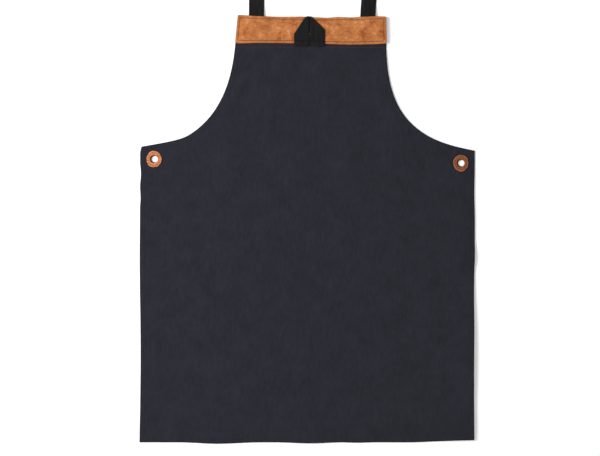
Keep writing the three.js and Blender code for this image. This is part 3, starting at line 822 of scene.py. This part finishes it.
def webbing_finish(colours):
    """Woven webbing on its own UV map: warp cords run along it, and each weft pick crosses over
    every other cord. Faint streaks run the apron's length over it."""
    finish = Finish("black webbing", {"Roughness": 0.8, "Specular IOR Level": 0.08})
    u, v, _ = finish.axes(finish.node("ShaderNodeUVMap", uv_map="cloth"))
    cord = (u * (math.pi / CORD_PITCH)).sine()
    pick = (v * (math.pi / PICK_PITCH)).sine()
    over = cord * pick
    weave = over * 0.5 + cord.absolute() * 0.5
    lint = finish.noise(finish.coordinates(), 320, detail=3)
    warp = finish.noise(finish.stretched(finish.coordinates(), 1.0, 0.05), 260, detail=2)
    tone = weave * 0.5 + lint * 0.4 + (warp - 0.5) * 2.2
    tint = finish.mix(tone + 0.1, colours.webbing_dark, colours.webbing)
    return finish.finish_with(base_color=tint, normal=finish.bump(weave + lint * 0.5, 0.7, 0.00025))


def leather_finish(name, tone, rim, dark):
    """Split leather: cloudy colour, fine pores, a rim worn lighter than the middle and dark spots."""
    finish = Finish(name, {"Specular IOR Level": 0.18})
    place = finish.coordinates()
    cloud = finish.noise(place, 240, detail=4, roughness=0.6)
    pores = finish.noise(place, 1900, detail=2)
    edge = finish.attribute("edge")
    tint = finish.mix((cloud + pores * 0.5).between(0.45, 1.0), dark, tone)
    tint = finish.mix(edge.between(0.0028, 0.0006) * 0.6, tint, rim)
    spots = finish.noise(place, 330, detail=2).between(0.58, 0.72)
    tint = finish.mix(spots * 0.7, tint, tuple(0.5 * c for c in dark))
    return finish.finish_with(
        base_color=tint, roughness=0.62 + cloud * 0.2, normal=finish.bump(cloud + pores * 0.6, 0.5, 0.0003)
    )


def thread_finish(name, tone):
    """Waxed thread: a tight twist of three plies."""
    finish = Finish(name, {"Roughness": 0.6, "Specular IOR Level": 0.15})
    x, y, z = finish.axes(finish.coordinates())
    plies = ((x + y + z * 2) * (2 * math.pi / PLY_PITCH)).sine()
    tint = finish.mix(0.62 + plies * 0.3, tuple(0.5 * c for c in tone[:3]), tone)
    return finish.finish_with(base_color=tint, normal=finish.bump(plies, 0.4, 0.0001))


def dress(piece, finish, replaces=()):
    """Gives a piece its finish and body and hides the solids that it stands for."""
    piece.data.materials.append(finish)
    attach(piece, BODY)
    if replaces:
        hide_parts(*replaces)
    return piece


def cut_of(context):
    """The cut, the sizes and the colours that the scene holds."""
    scene = context.scene
    return Cut(scene.apron_sizes, scene.apron_detail), scene.apron_sizes, scene.apron_colours


class APRON_OT_canvas(bpy.types.Operator):
    """Canvas panel with its hem and facing folded under and two eyelet holes"""

    bl_idname = "apron.canvas"
    bl_label = "Canvas panel"

    def execute(self, context):
        cut, sizes, colours = cut_of(context)
        x, y, edge = self.grid(cut)
        height = cut.rest_height(x, y)
        hemmed = (edge <= sizes.hem_width) | (y >= cut.facing_y - 1e-6)
        outline = [cut.side_line(side, 0)[::2] for side in (-1, 1)]
        from_hem = np.minimum(from_edges(x, y, outline) - sizes.hem_width, y - cut.hem_y - sizes.hem_width)
        from_hem = np.minimum(from_hem, cut.facing_y - y)
        held = np.maximum(1 - ease(from_hem / sizes.hem_ease), cut.held_by_ring(x, y))
        lift = (sizes.hem_thickness - sizes.canvas_thickness) * held
        low = height + np.where(hemmed, 0, lift)
        high = np.where(hemmed, height + sizes.hem_thickness, low + sizes.canvas_thickness)
        radius = sizes.hem_thickness / 2
        rounded = np.sqrt(1 - (1 - np.clip(edge / radius + 0.01, 0, 1)) ** 2)
        middle = (low + high) / 2
        thick = (high - low) / 2 * rounded
        y = y + cut.edge_shift(x, y)
        sheet = closed_sheet(x, y, middle - thick, middle + thick)
        panel = new_piece("canvas_cloth", *sheet, edge=np.tile(edge.ravel(), 2))
        self.cut_holes(panel, cut, sizes)
        dress(panel, canvas_finish(colours), ["canvas_panel"])
        return {"FINISHED"}

    @staticmethod
    def grid(cut):
        """Rows from the hem to the top. Each runs from the left edge's insets straight across to
        the right edge's, and bows so that the rows' middles are evenly spaced. Returns x, y and
        the distance from the edge, which is FAR beyond the hem."""
        left = [cut.side_line(-1, inset) for inset in cut.hem_steps]
        right = [cut.side_line(1, inset) for inset in cut.hem_steps]
        cells = cut.detail.field_cells
        u = np.linspace(0, 1, cells + 1)[None, :, None]
        field = lerp(left[-1][:, None], right[-1][:, None], u)
        hem_rows = len(cut.hem_steps)
        field_rows = cut.detail.side_cells + cut.detail.armhole_cells
        share = (np.arange(len(field)) - hem_rows + 1) / field_rows
        inside = (share > 0) & (share < 1)
        middle_y = lerp(cut.hem_y + cut.hem_steps[-1], cut.facing_y, share)
        bow = np.where(inside, middle_y - (field[:, 0, 1] + field[:, -1, 1]) / 2, 0)
        field[..., 1] += bow[:, None] * 4 * u[0, :, 0] * (1 - u[0, :, 0])
        points = np.concatenate([
            np.stack(left[:-1], 1), field, np.stack(right[-2::-1], 1)
        ], axis=1)
        top_rim = cut.rim[::-1]
        row_edge = np.full(len(field), FAR)
        row_edge[:hem_rows] = cut.hem_steps
        row_edge[-len(top_rim):] = top_rim
        column_edge = np.concatenate([cut.hem_steps, np.full(cells - 1, FAR), cut.hem_steps[::-1]])
        edge = np.minimum(*np.broadcast_arrays(row_edge[:, None], column_edge))
        return points[..., 0], points[..., 1], edge

    @staticmethod
    def cut_holes(panel, cut, sizes):
        """Cuts the two round eyelet holes with upright posts."""
        for side in (-1, 1):
            angle = np.linspace(0, 2 * math.pi, cut.detail.hole_sides, endpoint=False)
            centre = cut.eyelet(side) + [sizes.hole_shift, 0]
            circle = centre + sizes.canvas_hole / 2 * np.column_stack([np.cos(angle), np.sin(angle)])
            level = np.array([-0.01, 0.01])
            points = np.concatenate([np.column_stack([circle, np.full(len(circle), z)]) for z in level])
            post = new_piece("post", points, tube_faces(2, len(circle)))
            cutter = panel.modifiers.new("eyelet hole", "BOOLEAN")
            cutter.operation = "DIFFERENCE"
            cutter.solver = "EXACT"
            cutter.object = post
            bpy.context.view_layer.update()
            finished = panel.evaluated_get(bpy.context.evaluated_depsgraph_get())
            mesh = bpy.data.meshes.new_from_object(finished)
            panel.modifiers.remove(cutter)
            panel.data = mesh
            bpy.data.objects.remove(post)


def band_at(cut, sizes, over, down):
    """The suede band at distances over from its left end and down from its top: x, y and the
    heights of both faces. It lies on the facing, rises over the two strap ends by smooth steps,
    lifts at its left corners and right end, swells by a product of sines and dips along its
    seam. Its corners are trimmed round by pulling the corner's square of places in to a quarter
    circle."""
    width, height = sizes.bib_top_width, sizes.band_height
    left, right, top, bottom = over, width - over, down, height - down
    edge = np.minimum(np.minimum(top, bottom), np.minimum(left, right))
    beside = {"left": (left, 1), "right": (right, -1), "top": (top, 1), "bottom": (bottom, -1)}
    for corner in BAND_CORNERS:
        (from_side, x_way), (from_end, y_way) = beside[corner.side], beside[corner.end]
        a = np.clip(1 - from_side / corner.radius, 0, 1)
        b = np.clip(1 - from_end / corner.radius, 0, 1)
        pull = 1 - np.maximum(a, b) / np.maximum(np.hypot(a, b), 1e-9)
        over = over + x_way * corner.radius * a * pull
        down = down + y_way * corner.radius * b * pull
    y = cut.top_y - down
    ends = [cut.bib_edge(side, y) + side * sizes.band_overhang for side in (-1, 1)]
    x = lerp(ends[0], ends[1], over / width)
    shelf = sizes.strap_width / 2
    from_strap = np.minimum(*(np.abs(x - strap_x(cut, sizes, side)) for side in (-1, 1)))
    rise = 1 - ease((from_strap - shelf) / STRAP_RAMP)
    rise = rise * (1 - ease((down - sizes.strap_tuck) / TUCK_RAMP))
    low = cut.band_low + (sizes.strap_thickness + sizes.clearance) * rise
    wave = lerp(cut.band_wave(x, "top"), cut.band_wave(x, "bottom"), down / height)
    curl = sum(
        lift.amount * ease(1 - away / lift.reach)
        for lift, away in (
            (LOWER_LEFT_LIFT, np.hypot(left, bottom)), (UPPER_LEFT_LIFT, np.hypot(left, top)),
            (RIGHT_LIFT, right),
        )
    )
    swell = 1 + np.sin(x * 105 + np.sin(y * 60)) * np.sin(y * 190 + 2)
    swell = BAND_SWELL.amount * swell * ease(edge / BAND_SWELL.reach)
    rounded = np.sqrt(1 - (1 - np.clip(edge / CUT_RADIUS + 0.06, 0, 1)) ** 2)
    middle = low + curl + swell + sizes.suede_thickness / 2
    half = sizes.suede_thickness / 2 * (0.45 + 0.55 * rounded)
    seam = SEAM_DIP.amount * hump((edge - sizes.seam_inset) / SEAM_DIP.reach)
    return x, y + wave, middle - half, middle + half - seam


def strap_x(cut, sizes, side):
    """Centre of a strap end."""
    spacing = sizes.bib_top_width - sizes.strap_width - 2 * sizes.strap_inset
    return cut.bib_centre(cut.top_y) + sizes.strap_shift + side * spacing / 2


class APRON_OT_band(bpy.types.Operator):
    """Suede band across the bib, with its stitched channel"""

    bl_idname = "apron.band"
    bl_label = "Suede band"

    def execute(self, context):
        cut, sizes, colours = cut_of(context)
        rim = CUT_RADIUS * (1 - np.cos(np.radians([0, 40, 65])))
        width, height = sizes.bib_top_width, sizes.band_height
        places = [
            np.concatenate([rim, np.linspace(CUT_RADIUS, size - CUT_RADIUS, cells + 1), size - rim[::-1]])
            for size, cells in ((width, cut.detail.band_cells), (height, cut.detail.band_rows))
        ]
        over, down = np.meshgrid(places[0], places[1][::-1])
        edge = np.minimum(np.minimum(down, height - down), np.minimum(over, width - over))
        sheet = closed_sheet(*band_at(cut, sizes, over, down))
        band = new_piece("suede_band_nap", *sheet, edge=np.tile(edge.ravel(), 2))
        nap = sum(
            patch.tone * hump(np.hypot(over - patch.over * width, down - patch.down * height) / patch.reach)
            for patch in NAP_PATCHES
        )
        point_field(band.data, "nap", np.tile(nap.ravel(), 2))
        dress(band, suede_finish(colours, sizes.seam_inset), ["suede_band"])
        return {"FINISHED"}


class APRON_OT_strap(bpy.types.Operator):
    """Neck strap of webbing, flat at the bib and on edge round its arch"""

    bl_idname = "apron.strap"
    bl_label = "Neck strap"

    def execute(self, context):
        cut, sizes, colours = cut_of(context)
        strap = new_piece("neck_webbing", *ribbon(self.middle(cut, sizes), sizes.strap_thickness))
        dress(strap, webbing_finish(colours), ["neck_strap"])
        return {"FINISHED"}

    @staticmethod
    def middle(cut, sizes):
        """Straight up from the band, a half circle, a cubic curve back and straight down. The
        strap turns by a smooth step from flat to upright, which sets the height of its middle,
        and its flat ends tilt by a sine of the length."""
        left, right = (strap_x(cut, sizes, side) for side in (-1, 1))
        radius = (right - left + sizes.strap_spread) / 2
        run = (sizes.strap_length - math.pi * radius) / 2
        centre = np.array([left + radius, cut.top_y + run])
        foot = cut.top_y - sizes.strap_tuck
        angle = np.linspace(math.pi, 0, 120)[:, None]
        curve = np.array([
            [centre[0] + radius, centre[1]], [centre[0] + radius, cut.top_y + run / 2],
            [right, cut.top_y + run / 8], [right, cut.top_y],
        ])
        line = np.vstack([
            [[left, foot]], centre + radius * np.hstack([np.cos(angle), np.sin(angle)]),
            cubic(curve, np.linspace(0, 1, 60))[1:], [[right, foot]],
        ])
        line = evenly(line, 250)
        s = running_length(line)
        free = np.minimum(s, s[-1] - s) - sizes.strap_tuck
        turn = math.pi / 2 * ease((free - sizes.strap_flat_run) / sizes.strap_twist_run)
        half = sizes.strap_width / 2
        thin = sizes.strap_thickness / 2
        lying = half * np.sin(turn) + thin * np.cos(turn)
        drop = ease((free - sizes.edge_wander) / sizes.strap_drop_run)
        z = lerp(cut.band_low + thin, lying, drop)
        heading = headings(line)
        place = np.sin(np.linspace(-1, 1, 15) * math.pi / 2)[None, :] * half
        flat = np.cos(turn)[:, None]
        tilt = STRAP_TILT.amount * np.sin(s * 70)[:, None] * (place / half)
        tilt = tilt * ease(free / STRAP_TILT.reach)[:, None] * flat**2
        out = place * flat
        x = line[:, :1] - heading[:, 1:] * out
        y = line[:, 1:] + heading[:, :1] * out
        height = z[:, None] - place * np.sin(turn)[:, None] + tilt
        return np.stack([x, y, height], -1)


def loop_height(cut, sizes, y):
    """Middle height of a strand of the hanging loop: it climbs from the band onto its own folded
    part by a smooth step, is pressed down by its seam and droops past the band's edge."""
    foot = cut.top_y - sizes.loop_length
    up = y - foot
    base = cut.band_top + sizes.clearance + sizes.strap_thickness / 2
    climb = ease(1 - (SHOULDER * sizes.loop_length - up) / sizes.loop_ramp)
    droop = LOOP_DROOP.amount * (1 - ease(up / LOOP_DROOP.reach))
    seam = LOOP_SEAM.amount * hump((up - LOOP_SEAM_RISE) / LOOP_SEAM.reach)
    return base + 0.9 * sizes.strap_thickness * climb - droop - seam


class APRON_OT_hang_loop(bpy.types.Operator):
    """Hanging loop folded from the webbing, with its sewn ends on the band"""

    bl_idname = "apron.hang_loop"
    bl_label = "Hanging loop"

    def execute(self, context):
        cut, sizes, colours = cut_of(context)
        loop = new_piece("hang_loop_webbing", *join_parts(self.layers(cut, sizes)))
        dress(loop, webbing_finish(colours), ["hang_loop"])
        return {"FINISHED"}

    @staticmethod
    def layers(cut, sizes):
        """Two strands whose rows run up from the sewn end and over the mitre in a half circle,
        and whose columns run from the outer edge to the inner one, with the folded part of the
        webbing as a four-cornered sheet behind them."""
        half = sizes.strap_width + sizes.loop_slit / 2
        centre = cut.bib_centre(cut.top_y) - sizes.loop_shift
        foot = cut.top_y - sizes.loop_length
        thick = WEBBING_PRESSED * sizes.strap_thickness
        share = (1 - np.cos(np.linspace(0, math.pi, 21))) / 2
        across = lerp(1.0, sizes.loop_slit / 2 / half, share)
        back = cut.band_top + sizes.clearance + sizes.strap_thickness / 2
        rise = np.linspace(0, 1, 48)[:, None]
        phase = np.linspace(0, math.pi, 10)[1:, None]
        parts = []
        corners = {}
        for side, table in LOOP_OUTLINE.items():
            tip = np.interp(across, [row.across for row in table], [row.up for row in table])
            y = foot + rise * tip * sizes.loop_length
            up = y - foot
            gape = LOOP_GAPE.amount * hump((up - GAPE_PLACE * sizes.loop_length) / LOOP_GAPE.reach)
            closed = 0.4 * sizes.loop_slit * (1 - ease((up - SLIT_OPENS_AT) / SLIT_OPENS_IN))
            flare = LOOP_FLARE.amount * (1 - ease(up / LOOP_FLARE.reach)) * (1 - share)
            x = centre + side * (across * half + (gape - closed) * share**3 + flare)
            ragged = RAGGED_END * (0.5 + 0.5 * np.sin(share * 9 + side)) * (1 - rise) ** 3
            ripple = LOOP_RIPPLE.amount * (1 - ease(up / LOOP_RIPPLE.reach)) * np.sin(share * 11 + side)
            strand = np.stack([x, y + ragged, loop_height(cut, sizes, y) + ripple], -1)
            top = strand[-1]
            slope = headings(top[:, :2])
            out = np.column_stack([-slope[:, 1], slope[:, 0]])
            out *= np.sign(out[:, 1:])
            radius = (top[:, 2] - back) / 2
            flat = top[None, :, :2] - out * (-radius * np.sin(phase))[..., None]
            level = back + radius * (1 + np.cos(phase))
            roll = np.concatenate([flat, level[..., None]], -1)
            tail = roll[-1:] - [0, FOLDED_TAIL, 0]
            middle = np.concatenate([strand, roll, tail])
            parts.append(ribbon(middle[:, ::side], thick))
            corners[side] = [top[0, :2], top[np.argmax(top[:, 1]), :2]]
        u, v = np.meshgrid(np.linspace(0, 1, 30), np.linspace(0, 1, 30))
        u, v = u[..., None], v[..., None]
        (left, left_tip), (right, right_tip) = corners[-1], corners[1]
        sheet = lerp(lerp(left, right, u), lerp(left_tip, right_tip, u), v)
        x, y = sheet[..., 0], sheet[..., 1]
        flat = closed_sheet(x, y, 0 * x + back - 0.45 * thick, 0 * x + back + 0.45 * thick)
        parts.append((*flat, np.tile(sheet.reshape(-1, 2), (2, 1))))
        return parts


def ring_surface(cut, sizes, side, turn):
    """A washer as rows round the hole and columns round its section: straight lines from the
    bore to a hand-cut oval, with a rounded rim, a low crown and a groove where it is sewn."""
    angle = np.linspace(0, 2 * math.pi, cut.detail.ring_sides, endpoint=False)
    thick = sizes.ring_thickness
    out, level = np.array(RING_SECTION).T
    facets = (
        0.018 * np.cos(6 * angle + turn) + 0.02 * np.cos(3 * angle + 2 * turn)
        + 0.01 * np.cos(11 * angle)
    )
    reach_x = sizes.ring_width / 2 * (RING_TRIM + facets)
    reach_y = sizes.ring_length / 2 * (RING_TRIM + facets)
    bore = sizes.ring_bore / 2 * (1 + 0.012 * np.cos(4 * angle + turn))
    x = lerp(bore[:, None], reach_x[:, None], out) * np.cos(angle)[:, None]
    y = lerp(bore[:, None], reach_y[:, None], out) * np.sin(angle)[:, None]
    cup = 0.0003 * np.cos(2 * angle + turn)[:, None] * out
    z = cut.band_low + thick * level + np.maximum(cup, 0)
    centre = cut.eyelet(side)
    edge = (1 - out)[None, :] * (sizes.ring_width - sizes.ring_bore) / 2 + 0 * x
    return np.stack([x + centre[0], y + centre[1], z], -1), edge


class APRON_OT_rings(bpy.types.Operator):
    """Leather rings round the two eyelet holes, with their stitches"""

    bl_idname = "apron.rings"
    bl_label = "Eyelet rings"

    def execute(self, context):
        cut, sizes, colours = cut_of(context)
        finishes = {
            -1: leather_finish("orange leather", colours.leather, colours.suede_light, colours.suede_dark),
            1: leather_finish(
                "brown leather", colours.leather_brown, colours.leather_rim, colours.suede_dark
            ),
        }
        parts = []
        for side, word, turn in ((-1, "left", 0.4), (1, "right", 2.1)):
            points, edge = ring_surface(cut, sizes, side, turn)
            rows, cols = points.shape[:2]
            faces = tube_faces(rows, cols, ring=True)
            ring = new_piece(f"eyelet_leather_{word}", points, faces, edge=edge)
            dress(ring, finishes[side], [f"eyelet_ring_{word}"])
            parts.append(self.sewing(cut, sizes, side, turn))
        stitches = new_piece("eyelet_stitches", *join_parts(parts))
        dress(stitches, thread_finish("dark red thread", colours.thread))
        return {"FINISHED"}

    @staticmethod
    def sewing(cut, sizes, side, turn):
        """Sixteen stitches in an oval, three fifths of the way out from the bore."""
        angle = np.linspace(0, 2 * math.pi, 120) + turn
        reach_x = lerp(sizes.ring_bore, sizes.ring_width, RING_SEAM) / 2
        reach_y = lerp(sizes.ring_bore, sizes.ring_length, RING_SEAM) / 2
        line = cut.eyelet(side) + np.column_stack([reach_x * np.cos(angle), reach_y * np.sin(angle)])
        line = np.column_stack([line, np.full(len(line), cut.band_low + 0.9 * sizes.ring_thickness)])
        pitch = running_length(line)[-1] / RING_STITCHES
        return stitches_along(line, sizes, pitch, fill=0.6, wander=0.0002)


class APRON_OT_stitches(bpy.types.Operator):
    """Sewn rows on the suede, along the hems, along the facing and across the hanging loop"""

    bl_idname = "apron.stitches"
    bl_label = "Stitches"

    def execute(self, context):
        cut, sizes, colours = cut_of(context)
        rows = {
            "band_stitches": (self.band(cut, sizes), "dark red thread", colours.thread),
            "hem_stitches": (self.hems(cut, sizes), "navy thread", colours.canvas),
            "facing_stitches": (self.facing(cut, sizes), "orange thread", colours.thread_orange),
            "loop_stitches": (self.loop(cut, sizes), "black thread", colours.webbing_dark),
        }
        for name, (parts, finish, tone) in rows.items():
            piece = new_piece(name, *join_parts(parts))
            material = bpy.data.materials.get(finish) or thread_finish(finish, tone)
            dress(piece, material)
        return {"FINISHED"}

    @staticmethod
    def band(cut, sizes):
        """One row all round the band, set in from its edge, with rounded corners."""
        inset = sizes.seam_inset
        width, height = sizes.bib_top_width, sizes.band_height
        line = []
        for k, (x_way, y_way, radius) in enumerate(SEAM_CORNERS):
            corner = np.array([
                inset if x_way > 0 else width - inset,
                inset if y_way > 0 else height - inset,
            ])
            angle = np.radians(np.linspace(180, 270, 12) + 90 * k)
            arc = np.column_stack([np.cos(angle), np.sin(angle)])
            line.append(corner + radius * (np.array([x_way, y_way]) + arc))
        line = evenly(np.vstack([*line, line[0][:1]]), 700)
        x, y, _, high = band_at(cut, sizes, line[:, 0], line[:, 1])
        return [stitches_along(np.column_stack([x, y, high]), sizes, sizes.stitch_pitch, wander=0.0001)]

    @staticmethod
    def hems(cut, sizes):
        """Rows along the hem, the sides and the armholes, nine tenths of the hem's width in."""
        inset = HEM_SEAM * sizes.hem_width
        left, right = (cut.side_line(side, inset) for side in (-1, 1))
        first = np.searchsorted(left[:, 1], cut.hem_y + inset)
        last = np.searchsorted(left[:, 1], cut.facing_y)
        foot = cut.hem_y + inset
        across = np.linspace(left[first, 0], right[first, 0], 200)
        bottom = np.column_stack([across, foot + 0 * across])
        lines = [cut.on_hem(line) for line in (left[first:last], right[first:last], bottom)]
        return [stitches_along(line, sizes, sizes.stitch_pitch, wander=0.00015) for line in lines]

    @staticmethod
    def facing(cut, sizes):
        """A looser row along the facing's lower edge, on both sides of the hanging loop."""
        y = cut.facing_y + FACING_ROW_RISE
        left, right = (cut.bib_edge(side, y) - side * FACING_ROW_GAP for side in (-1, 1))
        middle = cut.bib_centre(cut.top_y) - sizes.loop_shift
        half = sizes.strap_width + FACING_ROW_GAP
        rows = []
        for start, end in ((left, middle - half), (middle + half, right)):
            across = np.linspace(start, end, 60)
            line = np.column_stack([across, y + FACING_ROW_WANDER * np.sin(across * 40)])
            line = cut.on_hem(line)
            rows.append(stitches_along(line, sizes, FACING_STITCH, fill=0.5, wander=0.0003))
        return rows

    @staticmethod
    def loop(cut, sizes):
        """Two close rows across the loop's sewn ends."""
        middle = cut.bib_centre(cut.top_y) - sizes.loop_shift
        half = sizes.strap_width
        rows = []
        for rise, start, end in LOOP_ROWS:
            x = middle + half * np.linspace(start, end, 60)
            y = cut.top_y - sizes.loop_length + (LOOP_SEAM_RISE + rise) + 0 * x
            z = loop_height(cut, sizes, y) + 0.45 * sizes.strap_thickness
            rows.append(stitches_along(np.column_stack([x, y, z]), sizes, LOOP_STITCH, wander=0.0002))
        return rows


class APRON_OT_declare(bpy.types.Operator):
    bl_idname = "apron.declare"
    bl_label = "Declare the cloth"

    def execute(self, context):
        return {"FINISHED"}


class APRON_OT_stage(bpy.types.Operator):
    """Pale floor, soft studio light from the left and the camera straight above"""

    bl_idname = "apron.stage"
    bl_label = "Stage"

    def execute(self, context):
        colours = context.scene.apron_colours
        self.floor(colours)
        self.lights()
        self.camera(context.scene)
        return {"FINISHED"}

    @staticmethod
    def floor(colours):
        """A wide level sheet, a hair below the apron."""
        side = np.linspace(-FLOOR_REACH, FLOOR_REACH, 9)
        x, y = np.meshgrid(side, side)
        index = np.arange(x.size).reshape(x.shape)
        floor = new_piece("floor", np.stack([x, y, 0 * x - FLOOR_DROP], -1), quads(index))
        finish = Finish("pale floor", {
            "Base Color": (*colours.floor, 1), "Roughness": 0.95, "Specular IOR Level": 0.1,
        })
        floor.data.materials.append(finish.material)

    @staticmethod
    def lights():
        """A large soft key from the left, a wide overhead fill and an even pale surround."""
        for name, place, size, power in LAMPS:
            lamp = bpy.data.lights.new(name, "AREA")
            lamp.shape = "SQUARE"
            lamp.size = size
            lamp.energy = power
            light = bpy.data.objects.new(name, lamp)
            light.location = place
            light.rotation_euler = (-Vector(place)).to_track_quat("-Z", "Y").to_euler()
            bpy.context.scene.collection.objects.link(light)
        world = bpy.data.worlds.new("surround")
        world.use_nodes = True
        world.node_tree.nodes["Background"].inputs["Color"].default_value = (1, 1, 1, 1)
        world.node_tree.nodes["Background"].inputs["Strength"].default_value = SURROUND
        bpy.context.scene.world = world

    @staticmethod
    def camera(scene):
        """Straight above, so that a set width of the cloth's plane fills the picture."""
        view = bpy.data.cameras.new("overhead")
        view.sensor_width = FILM_WIDTH
        view.lens = FILM_WIDTH * CAMERA_PLACE[2] / PICTURE_WIDTH
        camera = bpy.data.objects.new("overhead", view)
        camera.location = CAMERA_PLACE
        scene.collection.objects.link(camera)
        scene.camera = camera
        scene.view_settings.view_transform = "Standard"


class APRON_PT_pieces(bpy.types.Panel):
    """Lists the apron's pieces"""

    bl_label = "Apron"
    bl_idname = "APRON_PT_pieces"
    bl_space_type = "VIEW_3D"
    bl_region_type = "UI"
    bl_category = "Apron"

    def draw(self, context):
        for step in STEPS:
            self.layout.operator(step.bl_idname)


GROUPS = {"apron_sizes": ApronSizes, "apron_colours": ApronColours, "apron_detail": ApronDetail}
STEPS = (
    APRON_OT_stage, APRON_OT_canvas, APRON_OT_band, APRON_OT_strap, APRON_OT_hang_loop,
    APRON_OT_rings, APRON_OT_stitches, APRON_OT_declare,
)


def register():
    for group in GROUPS.values():
        bpy.utils.register_class(group)
    for name, group in GROUPS.items():
        setattr(bpy.types.Scene, name, PointerProperty(type=group))
    for step in (*STEPS, APRON_PT_pieces):
        bpy.utils.register_class(step)


def unregister():
    for step in (APRON_PT_pieces, *reversed(STEPS)):
        bpy.utils.unregister_class(step)
    for name, group in GROUPS.items():
        delattr(bpy.types.Scene, name)
        bpy.utils.unregister_class(group)


def main():
    """Builds the stage and every piece."""
    register()
    for step in STEPS:
        family, name = step.bl_idname.split(".")
        getattr(getattr(bpy.ops, family), name)()


if __name__ == "__main__":
    main()
